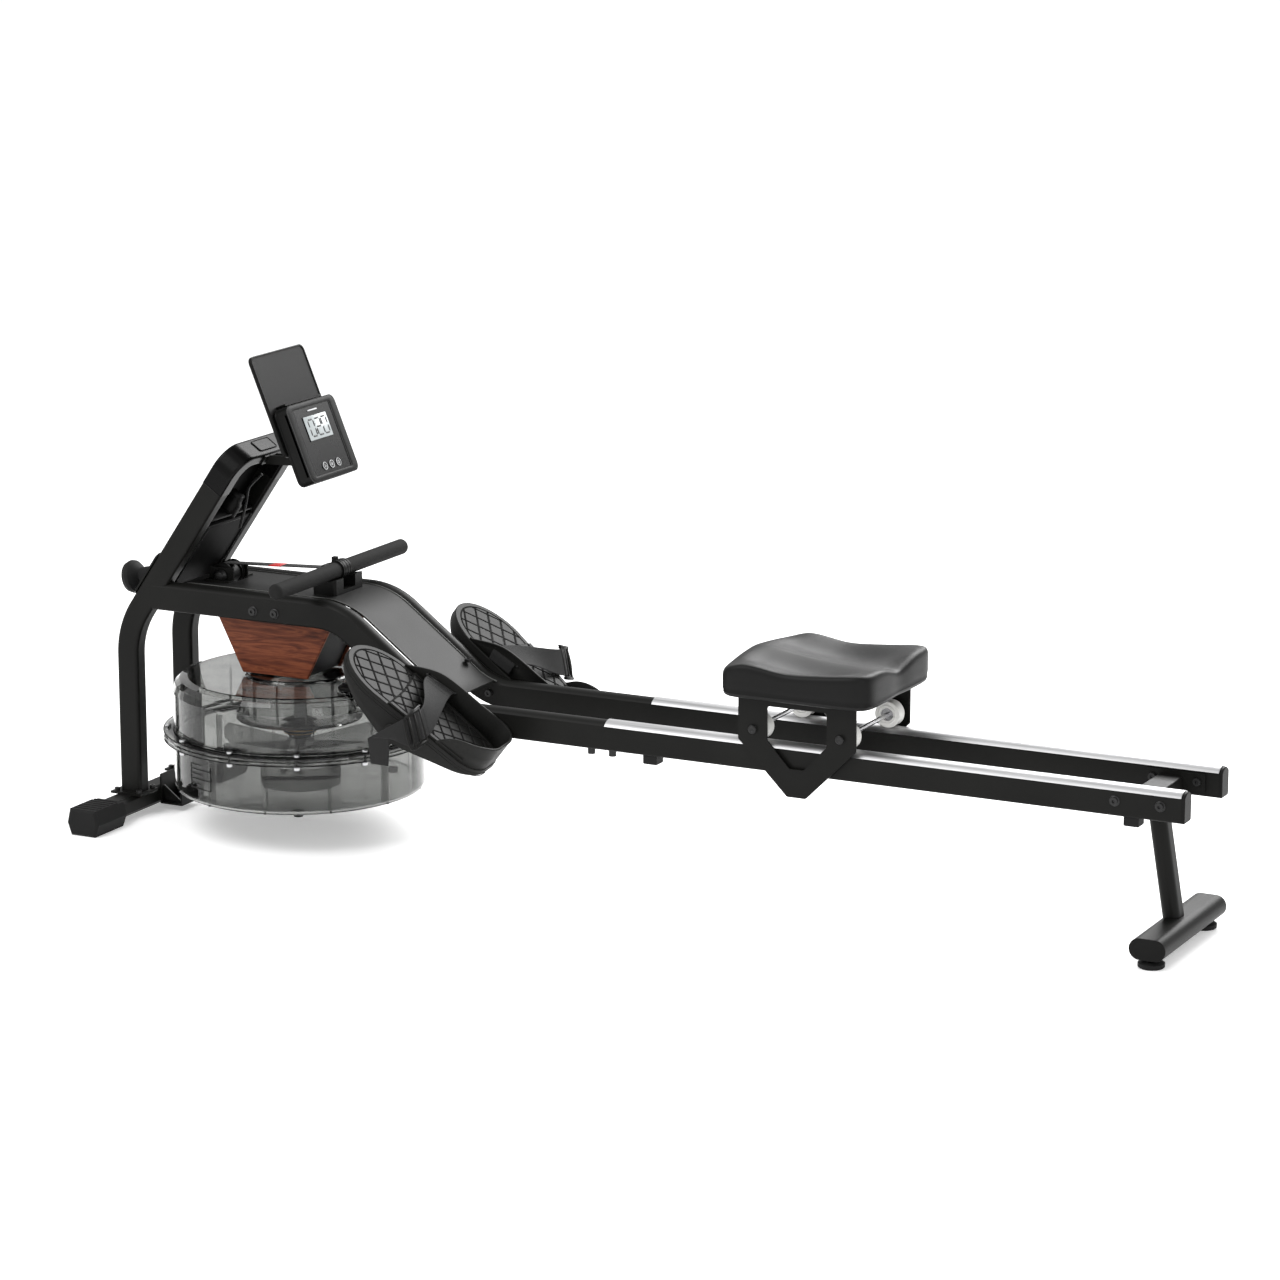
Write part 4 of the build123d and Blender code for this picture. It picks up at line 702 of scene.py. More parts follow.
def cup_sole(side, rows=200, columns=100):
    """The raised, grooved sole in the cup, closed by a flat face underneath."""
    verts = []
    for i in range(rows + 1):
        along = 1 - (1 - i / rows) ** 1.3
        for j in range(columns + 1):
            v = 2 * j / columns - 1
            start = 0.098 + 0.022 * (v + 1) / 2 + 0.006 * math.sin(math.pi * (v + 1) / 2)
            a = start + (CUP_SOLE_END - start) * along
            w = v * sole_half(min(a, 0.3105), CUP_WALL)
            lift = CUP_SOLE_LIFT * step(0, 0.0045, a - start)
            cut = min(tread_depth(a, w, *CUP_TREAD), lift)
            verts.append(pedal_point(side, a, w, 0.0004 + lift - cut))
    faces = grid_faces(rows, columns)
    wide, under = columns + 1, len(verts)
    edge = list(range(wide))
    edge += [i * wide + columns for i in range(1, rows + 1)]
    edge += [rows * wide + j for j in range(columns - 1, -1, -1)]
    edge += [i * wide for i in range(rows - 1, 0, -1)]
    normal = Vector((PEDAL_SIN, 0, PEDAL_COS))
    origin = pedal_point(side, 0, 0, 0.00035)
    verts += [verts[index] - normal * (verts[index] - origin).dot(normal) for index in edge]
    count = len(edge)
    for i in range(count):
        k = (i + 1) % count
        faces.append((edge[i], under + i, under + k, edge[k]))
    faces.append(tuple(under + i for i in range(count)))
    return verts, faces


def heel_cup(side, word):
    body = f"{word}_heel_cup"
    made = solid(f"{word}_heel_cup_moulding", [cup_walls(side), cup_sole(side)], PEDAL, body)
    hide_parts(f"heel_cup_{word}")
    shade_grooves(made, side, CUP_TREAD, 0.0006)
    line = []
    for i in range(17):
        a = 0.232 + 0.003 * i
        line.append((a, sole_half(a, 0.0012) + 0.0003, 0.007 + 0.2 * max(0, a - 0.29)))
    solid(f"{word}_heel_cup_trim", [pedal_bar(side, line, 0.0011, 6)], PEDAL, body)


# ------------------------------------------------------------------ foot straps
STRAP_THICKNESS = 0.0018
TAIL_BEND, TAIL_END, TAIL_HALF = (0.3295, 0.2915, 0.262), (0.3305, 0.2905, 0.2155), 0.0215


def band_station(side, w, front, rear):
    """A station of the band from the (a, h) of its front and rear edges."""
    top, low = pedal_point(side, front[0], w, front[1]), pedal_point(side, rear[0], w, rear[1])
    return (top + low) / 2, (low - top) / 2


def strap_over_foot(side):
    """The band's run from the bar on the inner wall over the foot to the buckle."""
    stations = []
    for i in range(27):
        u = i / 26
        s = step(0, 1, u)
        bow = 0.004 * math.sin(math.pi * u)
        stations.append(band_station(
            side, -0.0605 + 0.142 * u, (0.123 + 0.051 * s, 0.019 + 0.016 * s + bow),
            (0.178 + 0.033 * s, 0.026 - 0.022 * s + bow)))
    return stations


def strap_out_of_buckle(side):
    stations = []
    for i in range(9):
        u = i / 8
        stations.append(band_station(
            side, 0.0815 + 0.0351 * u, (0.174 - 0.006 * u, 0.035 - 0.010 * u),
            (0.211 - 0.008 * u, 0.004 - 0.012 * u)))
    return stations


def strap_hang(side):
    """The short end that turns down behind the bar on the inner wall."""
    stations = []
    for i in range(12):
        u = i / 11
        turn = math.pi / 2 * min(1.0, u * 3)
        drop = 0.024 - 0.004 * (1 - math.cos(turn)) - 0.0182 * max(0, u - 0.15)
        stations.append(band_station(
            side, -0.0665 - 0.0055 * math.sin(turn), (0.126 + 0.004 * u, drop - 0.003),
            (0.176 + 0.002 * u, drop + 0.003)))
    return stations


def strap_tail(side, start):
    """The free end that hangs from the buckle; start is the station it leaves from."""
    centre_start, half_start = start
    bend, end = (at(x, side * y, z) for x, y, z in (TAIL_BEND, TAIL_END))
    stations = []
    for i in range(26):
        u = i / 25
        if u < 0.4:
            t = step(0, 1, u / 0.4)
            centre = centre_start.lerp(bend, t) + Vector((0, side * 0.002 * math.sin(math.pi * t), 0))
            half = half_start.lerp(Vector((TAIL_HALF, 0, 0.003)), t)
        else:
            t = (u - 0.4) / 0.6
            centre = bend.lerp(end, t)
            half = Vector((TAIL_HALF - 0.004 * t, 0, 0.003 * (1 - t)))
        stations.append((centre, half))
    return stations


def foot_strap(side, word):
    body = f"{word}_heel_cup"
    over, out = strap_over_foot(side), strap_out_of_buckle(side)
    runs = [with_normals(run) for run in (over, out, strap_hang(side), strap_tail(side, out[-1]))]
    made = solid(f"{word}_foot_strap_webbing", [ribbon(run, STRAP_THICKNESS) for run in runs], WEBBING,
                 body)
    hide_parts(f"foot_strap_{word}")

    stitches = []
    for index in (2, 4, 23, 25):
        centre, half, normal = runs[0][index]
        reach = half.normalized() * 0.0011
        for j in range(-7, 8):
            spot = centre + half * (j / 8.5) + normal * 0.00095
            stitches.append(bead([spot - reach, spot + reach], 0.00028, 5))
    solid(f"{word}_foot_strap_stitches", stitches, CABLE, body)


def buckle(side, word):
    body = f"{word}_heel_cup"
    edges = ((0.1705, 0.0370), (0.2135, 0.0015))
    parts = [pedal_bar(side, [(a, w, h + shift) for a, h in edges], 0.0027)
             for w, shift in ((0.0785, 0.0), (0.0930, -0.0045), (0.1080, -0.0090))]
    for a, h in edges:
        line = [(a, 0.0765, h), (a, 0.0930, h - 0.0045), (a - 0.001, 0.1120, h - 0.0100)]
        parts.append(pedal_bar(side, line, 0.0032))
    solid(f"{word}_buckle_frame", parts, PEDAL, body)
    pins = [pedal_bar(side, [(0.1682, 0.0730, 0.0400), (0.1682, 0.1080, 0.0290)], 0.0018)]
    corners = ((0.121, -0.0600, 0.0200), (0.180, -0.0600, 0.0275))
    pins.append(pedal_bar(side, corners, 0.0017))
    pins += [pedal_bar(side, [(a, w, h), (a, w - 0.0090, h)], 0.0017) for a, w, h in corners]
    solid(f"{word}_buckle_pins", pins, BOLT, body)
    loop = []
    for j in range(17):
        turn = math.pi * j / 16
        loop.append((0.190 + 0.020 * math.cos(turn), 0.1125 + 0.007 * math.sin(turn),
                     0.006 - 0.017 * math.cos(turn)))
    solid(f"{word}_buckle_loops", [pedal_bar(side, loop, 0.0016, 8)], PEDAL, body)


for side, word in ((-1, "left"), (1, "right")):
    pedal_shell(side, word)
    heel_cup(side, word)
    foot_strap(side, word)
    buckle(side, word)


# ------------------------------------------------------------------ seat
def seat_height(u, v):
    """The pad's top above the carriage; u runs front to rear, v across, both from -1 to 1."""
    side_line = smooth_at([(-1, 0.0440), (-0.86, 0.0520), (-0.62, 0.0580), (-0.1, 0.0490), (0.4, 0.0525),
                           (0.8, 0.0580), (0.93, 0.0590), (1, 0.0575)], u)
    middle_line = smooth_at([(-1, 0.0585), (-0.86, 0.0615), (-0.7, 0.0600), (-0.3, 0.0510),
                             (0.2, 0.0445), (0.7, 0.0440), (1, 0.0430)], u)
    cheek_line = smooth_at([(-1, 0.0530), (-0.86, 0.0570), (-0.6, 0.0500), (-0.1, 0.0385),
                            (0.3, 0.0385), (0.72, 0.0500), (0.9, 0.0570), (1, 0.0565)], u)
    across = abs(v)
    return smooth_at([(0, middle_line), (0.06, middle_line), (0.48, cheek_line),
                      (0.9, side_line), (1, side_line)], across)


SEAT_MIDDLE, SEAT_HALF_X, SEAT_HALF_Y = (1.0207, 0, 0.3622), 0.1368, 0.1378
SQUARENESS = 10.0


def seat_outline(count=168):
    """The pad's plan: rounded corners, a scalloped front and a notched rear."""
    loop = []
    for i in range(count):
        turn = 2 * math.pi * i / count
        c, s = math.cos(turn), math.sin(turn)
        reach = (abs(c) ** SQUARENESS + abs(s) ** SQUARENESS) ** (-1 / SQUARENESS)
        x, y = c * reach, s * reach
        if x > 0:
            x -= 0.022 * math.exp(-(y / 0.24) ** 2) * step(0.5, 1.0, x)
        else:
            x += 0.012 * (math.exp(-((abs(y) - 0.62) / 0.20) ** 2)) * step(0.5, 1.0, -x)
        y *= 1 - 0.010 * math.exp(-((x + 0.15) / 0.35) ** 2)
        loop.append((x, y))
    return loop


def seat():
    middle = at(*SEAT_MIDDLE)
    outline = seat_outline()

    def point(x, y, z):
        return middle + Vector((x * SEAT_HALF_X, y * SEAT_HALF_Y, z))

    rings = []
    low_rings = ((0.90, 0.0004), (0.965, 0.0010), (0.985, 0.0032), (0.993, 0.0070), (0.996, 0.0076))
    for scale, z in low_rings:
        rings.append([point(x * scale, y * scale, z) for x, y in outline])
    rings.append([point(x * 0.992, y * 0.992, 0.0084) for x, y in outline])
    for part in (0.25, 0.5, 0.75, 0.9):
        rings.append([point(x, y, 0.0088 + (seat_height(x, y) - 0.020) * part) for x, y in outline])
    for scale, drop in (
        (0.999, 0.0095), (0.995, 0.0062), (0.985, 0.0030), (0.970, 0.0012), (0.950, 0.0003),
    ):
        rings.append([point(x * scale, y * scale, seat_height(x * scale, y * scale) - drop)
                      for x, y in outline])
    for i in range(1, 24):
        scale = 0.95 * (1 - i / 24)
        rings.append([point(x * scale, y * scale, seat_height(x * scale, y * scale)) for x, y in outline])
    made = solid("seat_saddle", [stack(rings)], SEAT, "seat_carriage")
    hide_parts("seat_pad")


seat()


# ------------------------------------------------------------------ tank
TANK_RIBS, TANK_SCREWS, DROPLETS = 12, 12, 260
BOWL_RADIUS, MARK_RADIUS, SCREW_CIRCLE = 0.2235, 0.2234, 0.233
LEVEL_LOW, LEVEL_HIGH, LEVEL_STEP, LEVEL_WIDTH = 0.104, 0.1465, 0.0085, 0.055
LEVEL_START = math.radians(-117)


def tank(u, v, w):
    return at(TANK_X + u, v, w)


def round_tank(radius, turn, z):
    return tank(radius * math.cos(turn), radius * math.sin(turn), z)


def tank_rib(turn, radius, middle, half_width, half_height, thickness):
    """An upright rib that points at the tank's axis."""
    c, s = math.cos(turn), math.sin(turn)
    return slab(
        lambda u, v, w: tank((radius + u) * c - w * s, (radius + u) * s + w * c, middle + v),
        half_width, half_height, 0.001, -thickness / 2, thickness / 2, 0.0004, 2)


def tank_well():
    """The sunken middle of the dome, and the ribs on it and on the outer wall."""
    profile = [
        (0.090, 0.2725), (0.094, 0.2725), (0.0925, 0.210), (0.100, 0.203), (0.112, 0.201),
        (0.112, 0.1985), (0.098, 0.2000), (0.0900, 0.206), (0.0885, 0.2105),
    ]
    parts = [open_ended(turned(tank, profile, 96))]
    for i in range(TANK_RIBS):
        turn = math.radians(30 * i + 8)
        parts.append(tank_rib(turn, 0.0975, 0.238, 0.0035, 0.033, 0.0024))
        parts.append(tank_rib(turn, 0.2075, 0.212, 0.0028, 0.033, 0.0020))
    solid("tank_well", parts, CLEAR_DARK, "frame")


def level_marks():
    """A ladder of long and short marks, without figures, on the near side of the bowl."""
    marks = []
    for i in range(6):
        z = LEVEL_LOW + LEVEL_STEP * i
        sweep = (0.030 if i % 2 else LEVEL_WIDTH) / BOWL_RADIUS
        line = [round_tank(MARK_RADIUS, LEVEL_START + j / 8 * sweep, z) for j in range(9)]
        marks.append(bead(line, 0.0009, 6))
    for edge in (0.0, LEVEL_WIDTH):
        turn = LEVEL_START + edge / BOWL_RADIUS
        line = [round_tank(MARK_RADIUS, turn, z) for z in (LEVEL_LOW, LEVEL_HIGH)]
        marks.append(bead(line, 0.0009, 6))
    solid("tank_level_marks", marks, CABLE, "frame")


def tank_edges():
    rims = (
        (0.2405, 0.1665, 0.0011), (0.2405, 0.1805, 0.0011), (0.2232, 0.1832, 0.0012),
        (0.2135, 0.0748, 0.0012), (0.0925, 0.2806, 0.0010), (0.0405, 0.2826, 0.0010),
    )
    beads = [ring_of(tank, radius, z, thick, 128, 8) for radius, z, thick in rims]
    solid("tank_edge_beads", beads, GLOSS, "frame")


def screw_caps():
    caps = []
    for i in range(TANK_SCREWS):
        foot = round_tank(SCREW_CIRCLE, 2 * math.pi * i / TANK_SCREWS, 0)
        for low, high in ((0.1585, 0.1655), (0.1815, 0.1860)):
            profile = [
                (0.0003, low), (0.0052, low), (0.0056, low + 0.0006), (0.0056, high - 0.0006),
                (0.0050, high), (0.0003, high),
            ]
            caps.append(turned(lambda u, v, w: foot + Vector((u, v, w)), profile, 20))
    solid("tank_screw_caps", caps, STEEL, "frame")


def paddle_hub():
    cone = [(0.0175, 0.160), (0.030, 0.172), (0.033, 0.176), (0.033, 0.179), (0.0175, 0.190)]
    solid("paddle_collar", [turned(tank, cone, 64)], PLASTIC, "paddle")
    rings = [ring_of(tank, 0.0335, 0.1775, 0.0012, 72, 8), ring_of(tank, 0.0285, 0.1700, 0.0008, 72, 8)]
    solid("paddle_seal_ring", rings, BRASS, "paddle")


def droplets():
    """Small drops on the dome's inside and on the well."""
    drops = []
    upright = Vector((0, 0, 1.2))
    for i in range(DROPLETS):
        turn = 2 * math.pi * noise.random()
        on_well = i % 3 == 0
        if on_well:
            radius, z = 0.0952, 0.212 + 0.040 * noise.random()
        else:
            radius, z = 0.2188, 0.190 + 0.045 * noise.random()
        size = 0.0006 + 0.0013 * noise.random() ** 2
        normal = Vector((math.cos(turn), math.sin(turn), 0)) * (1 if on_well else -1)
        side = Vector((-math.sin(turn), math.cos(turn), 0))
        rings = []
        for height, part in ((-0.3, 0.8), (0.0, 1.0), (0.35, 0.8), (0.55, 0.45), (0.62, 0.1)):
            middle = round_tank(radius, turn, z) + normal * size * height
            rings.append([
                middle + (side * math.cos(angle) + upright * math.sin(angle)) * size * part
                for angle in (math.pi * j / 4 for j in range(8))])
        drops.append(stack(rings))
    solid("tank_droplets", drops, CLEAR_PALE, "frame")


tank_well()
level_marks()
tank_edges()
screw_caps()
paddle_hub()
noise.seed_set(7)
droplets()


# ------------------------------------------------------------------ console
CONSOLE_TURN = math.radians(22.5)
CONSOLE_PLACE = (0.0530, 0.7025)
CONSOLE_HALF_HEIGHT, CONSOLE_HALF_WIDTH, CONSOLE_CORNER = 0.0710, 0.0800, 0.014
SCREEN_DOWN, BUTTONS_DOWN, HOLDER_DOWN = -0.0225, 0.0470, -0.0800
FIGURE_HEIGHT = 0.0300


def console(down, across, out):
    """down the console's face, across it to the rower's right, out of it."""
    s, c = math.sin(CONSOLE_TURN), math.cos(CONSOLE_TURN)
    return at(CONSOLE_PLACE[0] + down * s + out * c, across, CONSOLE_PLACE[1] - down * c + out * s)


def on_console(down, across=0.0):
    """A frame on the console's face with its middle moved down and across."""
    return lambda u, v, w: console(down + u, across + v, w)


def rounded_ring(place, half_x, half_y, radius, width, low, high, steps=8):
    rings = []
    for inset, z in ((0, low), (0, high), (width, high), (width, low)):
        loop = rounded_loop(half_x - inset, half_y - inset, max(radius - inset, 0.0004), steps)
        rings.append([place(x, y, z) for x, y in loop])
    return stack(rings, closed=True)


SEVEN = {"0": "abcdef", "2": "abged"}


def seven_segment(digit, centre):
    """One figure of the display; centre is its middle across."""
    half_w, half_h = FIGURE_HEIGHT * 0.27, FIGURE_HEIGHT / 2
    gap, thick = FIGURE_HEIGHT * 0.045, FIGURE_HEIGHT * 0.10
    bars = {
        "a": ((-half_h, -half_w + gap), (-half_h, half_w - gap)),
        "g": ((0, -half_w + gap), (0, half_w - gap)),
        "d": ((half_h, -half_w + gap), (half_h, half_w - gap)),
        "f": ((-half_h + gap, -half_w), (-gap, -half_w)),
        "b": ((-half_h + gap, half_w), (-gap, half_w)),
        "e": ((gap, -half_w), (half_h - gap, -half_w)),
        "c": ((gap, half_w), (half_h - gap, half_w)),
    }
    made = []
    for letter in SEVEN[digit]:
        start, end = (Vector(place) for place in bars[letter])
        along = (end - start).normalized()
        side = Vector((-along.y, along.x)) * thick / 2
        tip = along * thick / 2
        outline = [start, start + tip + side, end - tip + side, end, end - tip - side, start + tip - side]
        made.append(stack([[console(SCREEN_DOWN + p.x, centre + p.y, out) for p in outline]
                           for out in (0.00025, 0.00050)]))
    return made


def console_bezel():
    profile = (
        (0.0, -0.0060), (0.0, -0.0018), (0.0006, -0.0005), (0.0020, 0.0002), (0.0085, 0.0006),
        (0.0102, 0.0002), (0.0108, -0.0012), (0.0108, -0.0040),
    )
    rings = []
    for inset, out in profile:
        loop = rounded_loop(CONSOLE_HALF_HEIGHT - inset, CONSOLE_HALF_WIDTH - inset * 1.85,
                            max(CONSOLE_CORNER - inset, 0.003), 8)
        rings.append([console(x, y, out) for x, y in loop])
    back = slab(console, CONSOLE_HALF_HEIGHT, CONSOLE_HALF_WIDTH, CONSOLE_CORNER, -0.0300, -0.0215, 0.004, 8)
    solid("console_bezel", [stack(rings, closed=True), back], PLASTIC, "console")


def console_display():
    place = on_console(SCREEN_DOWN)
    screen = slab(place, 0.0215, 0.0380, 0.0015, -0.0007, 0.00018, 0.0002, 3)
    solid("console_screen", [screen], LCD, "console")
    border = rounded_ring(place, 0.0222, 0.0387, 0.002, 0.0008, -0.0006, 0.0004, 4)
    solid("console_screen_frame", [border], GLOSS, "console")
    figures = []
    for digit, centre in (("0", -0.0185), ("2", 0.0030), ("0", 0.0235)):
        figures += seven_segment(digit, centre)
    for down in (-0.0060, 0.0060):
        dot = on_console(SCREEN_DOWN + down, -0.0078)
        figures.append(slab(dot, 0.0010, 0.0010, 0.0003, 0.00025, 0.0005, 0.0001, 2))
    solid("console_figures", figures, SEGMENT, "console")
    bar = slab(on_console(-0.0535), 0.0012, 0.0150, 0.0008, -0.0007, 0.0002, 0.0001, 3)
    solid("console_top_mark", [bar], PRINT, "console")


def button_prints():
    """A ring on each button with a chevron, three bars or a small ring in it."""
    up = 0.0005
    for word, y in (("left", -0.0225), ("middle", 0.0), ("right", 0.0225)):
        place = on_console(BUTTONS_DOWN, y)
        marks = [ring_of(place, 0.0066, 0.0006, 0.00042, 40, 6)]
        if word == "left":
            chevron = [place(-0.0022, -0.0018, up), place(0.0, 0.0022, up), place(0.0022, -0.0018, up)]
            marks.append(bead(chevron, 0.00045, 6))
        elif word == "middle":
            marks += [bead([place(down, -0.0022, up), place(down, 0.0022, up)], 0.0004, 6)
                      for down in (-0.0016, 0.0, 0.0016)]
        else:
            marks.append(ring_of(place, 0.0024, up, 0.0004, 24, 6))
        solid(f"{word}_button_print", marks, PRINT, f"{word}_button")


def tablet_holder_trim():
    rim = rounded_ring(on_console(HOLDER_DOWN), 0.0922, 0.0872, 0.0122, 0.0030, -0.0342, -0.0278)
    solid("tablet_holder_rim", [rim], PLASTIC, "console")
    ribs = [slab(on_console(-0.020, y), 0.046, 0.0025, 0.001, -0.0292, -0.0218, 0.0008, 3)
            for y in (-0.045, 0.045)]
    solid("tablet_holder_ribs", ribs, PLASTIC, "console")


console_bezel()
console_display()
button_prints()
tablet_holder_trim()


# ------------------------------------------------------------------ arch, tray and deck
LEAN_TURN = math.radians(55.5)
LEAN_FOOT = (-0.2267, 0.4876)
SENSOR_ACROSS, SENSOR_DEPTH = 0.012, 0.024
DECK_HALF, DECK_RISE, DECK_START, DECK_END = 0.0703, 0.0224, -0.190, 0.352
BEND_RADIUS = 0.125
BEND_TOP, BEND_FOOT = (0.136, 0.4125), (0.338, 0.2605)
PULLEY_X, PULLEY_Z, PULLEY_RADIUS = -0.147, 0.442, 0.020


def lean(along, across, depth):
    """along the leaning uprights, across them, and down into the space between them."""
    s, c = math.sin(LEAN_TURN), math.cos(LEAN_TURN)
    return at(LEAN_FOOT[0] + along * c + depth * s, across, LEAN_FOOT[1] + along * s - depth * c)


def arch_seams():
    seams = [bead([lean(0.1698, y, 0.0015), lean(0.1698, y, 0.0415)], 0.0006, 6) for y in (0.1035, -0.1035)]
    hatch = rounded_ring(lambda u, v, w: lean(0.2512 + w, v, 0.021 + u),
                         0.0128, 0.0272, 0.004, 0.0010, -0.0004, 0.0008, 4)
    solid("arch_seams", [hatch, *seams], CABLE, "frame")


def front_tray():
    parts = [bead([lean(along, y, 0.0380) for y in (-0.069, 0.069)], 0.0032, 8) for along in (-0.052, 0.086)]
    parts += [bead([lean(along, y, 0.0415) for along in (-0.056, 0.090)], 0.0022, 8)
              for y in (-0.0695, 0.0695)]
    for y in (-0.046, -0.023, 0.0, 0.023, 0.046):
        parts.append(slab(lambda u, v, w: lean(0.018 + u, y + v, w), 0.064, 0.0012, 0.001,
                          0.0355, 0.0385, 0.0004, 2))
    solid("front_tray_ribs", parts, PLASTIC, "frame")


def sensor_mount():
    socket = turned(
        lambda u, v, w: lean(0.108 + w, u + SENSOR_ACROSS, SENSOR_DEPTH + v),
        [(0.001, -0.018), (0.0155, -0.018), (0.0165, -0.016), (0.0165, 0.010), (0.0125, 0.016),
         (0.0125, 0.024), (0.001, 0.024)], 40)
    hook = turned(
        lambda u, v, w: lean(0.130 + v, u + SENSOR_ACROSS, SENSOR_DEPTH + w),
        [(0.001, -0.012), (0.0085, -0.012), (0.0095, -0.010), (0.0095, 0.010), (0.001, 0.010)], 32)
    holder = slab(lambda u, v, w: lean(0.100 + w, u, SENSOR_DEPTH + v),
                  0.072, 0.014, 0.003, -0.002, 0.002, 0.0008, 3)
    solid("inner_sensor_mount", [socket, hook, holder], PLASTIC, "frame")


def deck_stations(count):
    """Places along the frame's S from the deck's start to its end, at the height of its edge."""
    slope = PEDAL_TURN
    half = BEND_RADIUS * math.tan(slope / 2)
    level = BEND_TOP[0] - half - DECK_START
    arc = BEND_RADIUS * slope
    straight = math.hypot(BEND_FOOT[0] - BEND_TOP[0], BEND_TOP[1] - BEND_FOOT[1]) - 2 * half
    total = level + 2 * arc + straight + DECK_END - (BEND_FOOT[0] + half)
    made = []
    for i in range(count + 1):
        s = total * i / count
        turn, x, z = 0.0, DECK_START + s, BEND_TOP[1]
        if s >= level + 2 * arc + straight:
            x, z = BEND_FOOT[0] + half + s - level - 2 * arc - straight, BEND_FOOT[1]
        elif s >= level + arc + straight:
            turn = slope - (s - level - arc - straight) / BEND_RADIUS
            x = BEND_FOOT[0] + half - BEND_RADIUS * math.sin(turn)
            z = BEND_FOOT[1] + BEND_RADIUS * (1 - math.cos(turn))
        elif s >= level + arc:
            turn, reach = slope, half + s - level - arc
            x = BEND_TOP[0] + reach * math.cos(slope)
            z = BEND_TOP[1] - reach * math.sin(slope)
        elif s >= level:
            turn = (s - level) / BEND_RADIUS
            x = BEND_TOP[0] - half + BEND_RADIUS * math.sin(turn)
            z = BEND_TOP[1] - BEND_RADIUS * (1 - math.cos(turn))
        made.append((x + DECK_RISE * math.sin(turn), z + DECK_RISE * math.cos(turn)))
    return made


def deck_edges():
    # The lips carry the painted highlight of the deck's rounded edges.
    lips = [bead([at(x, y, z) for x, z in deck_stations(90)], 0.0013, 8) for y in (DECK_HALF, -DECK_HALF)]
    solid("deck_edges", lips, DECK_EDGE_HIGHLIGHT, "frame")


def pulley_trim():
    nut = [(0.001, 0), (0.0125, 0), (0.0135, 0.001), (0.0135, 0.0025), (0.010, 0.0035),
           (0.0095, 0.0075), (0.008, 0.009), (0.001, 0.009)]
    solid("pulley_axle_nuts", both_sides(PULLEY_X, 0.0252, PULLEY_Z, nut, 32), BOLT, "frame")
    disc = [(0.006, 0), (0.0225, 0), (0.0235, 0.0010), (0.0235, 0.0026), (0.0215, 0.0036), (0.006, 0.0040)]
    solid("pulley_side_discs", both_sides(PULLEY_X, 0.0165, PULLEY_Z, disc, 56), PLASTIC, "frame")


arch_seams()
front_tray()
sensor_mount()
deck_edges()
pulley_trim()


# ------------------------------------------------------------------ pull strap and handle
HANDLE_X, HANDLE_Z = 0.084, 0.473
STRAP_HALF = 0.0115


def flat_strap(places, half, thickness=STRAP_THICKNESS):
    return [ribbon(with_normals([(place, Vector((0, half, 0))) for place in places]), thickness)]


def pull_line():
    """The strap round the guide pulley, and its run to the handle."""
    end_x = HANDLE_X - 0.0304
    rise = math.atan2(HANDLE_Z - PULLEY_Z - PULLEY_RADIUS, end_x - PULLEY_X)
    leave, meet = math.radians(258), math.pi / 2 + rise
    wrap = []
    for i in range(20):
        turn = leave + (meet - leave) * i / 19
        x, z = PULLEY_X + PULLEY_RADIUS * math.cos(turn), PULLEY_Z + PULLEY_RADIUS * math.sin(turn)
        wrap.append(at(x, 0, z))
    first, last = wrap[-1], at(end_x, 0, HANDLE_Z)
    run = [first.lerp(last, i / 24) for i in range(25)]
    wound = solid("pull_strap_wrap", flat_strap(wrap, STRAP_HALF), WEBBING, "frame")
    line = solid("pull_strap_run", flat_strap(run, STRAP_HALF), WEBBING, None)
    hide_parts("pull_strap")
    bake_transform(line)
    red = solid("pull_strap_mark", flat_strap(run[11:15], 0.0118, 0.0025), RED, None)
    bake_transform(red)


def ring_on_handle(y, radius, thickness):
    return ring_of(lambda u, v, w: at(HANDLE_X + u, y + w, HANDLE_Z + v), radius, 0, thickness, 40, 6)


def handle_details():
    rings = []
    for side in (1, -1):
        rings.append(ring_on_handle(side * 0.0152, 0.0136, 0.0006))
        rings.append(ring_on_handle(side * 0.0168, 0.0139, 0.0006))
    solid("grip_end_rings", rings, FOAM, "handle")
    clamp = [ring_on_handle(y, 0.0170, 0.0007) for y in (-0.0085, 0.0, 0.0085)]
    pin = [(0.0005, -0.001), (0.003, -0.001), (0.0035, 0), (0.0035, 0.027), (0.003, 0.028), (0.0005, 0.028)]
    clamp.append(turned(along_y(0.0588, -0.0135, HANDLE_Z), pin, 20))
    solid("strap_clamp_ribs", clamp, PLASTIC, "handle")


pull_line()
handle_details()


# ------------------------------------------------------------------ carriage and rollers
SEAT_X, AXLE_REACH, ROLLER_Y, ROLLER_Z = 1.0197, 0.079, 0.088, 0.3075


def carriage_details():
    for end, x in (("front", SEAT_X - AXLE_REACH), ("rear", SEAT_X + AXLE_REACH)):
        seals = []
        for word, y in (("left", -ROLLER_Y), ("right", ROLLER_Y)):
            places = [along_y(x, y, ROLLER_Z, sign) for sign in (1, -1)]
            rims = [ring_of(place, 0.0150, 0.0111, 0.0011, 48, 8) for place in places]
            solid(f"{end}_{word}_roller_rims", rims, ROLLER, f"{end}_{word}_roller")
            for place in places:
                seals.append(ring_of(place, 0.0075, 0.0036, 0.0014, 40, 8))
                seals.append(ring_of(place, 0.0052, 0.0062, 0.0010, 32, 8))
        solid(f"{end}_axle_trim", seals, STEEL, "seat_carriage")
    head = [(0.0004, 0), (0.0070, 0), (0.0074, 0.0006), (0.0066, 0.0016), (0.0030, 0.0020),
            (0.0026, 0.0010), (0.0004, 0.0010)]
    axle_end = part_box("roller_axles")[1].y
    heads = []
    for x in (SEAT_X - AXLE_REACH, SEAT_X + AXLE_REACH):
        heads += both_sides(x, axle_end, ROLLER_Z, head, 28)
    solid("carriage_screws", heads, BOLT, "seat_carriage")


carriage_details()


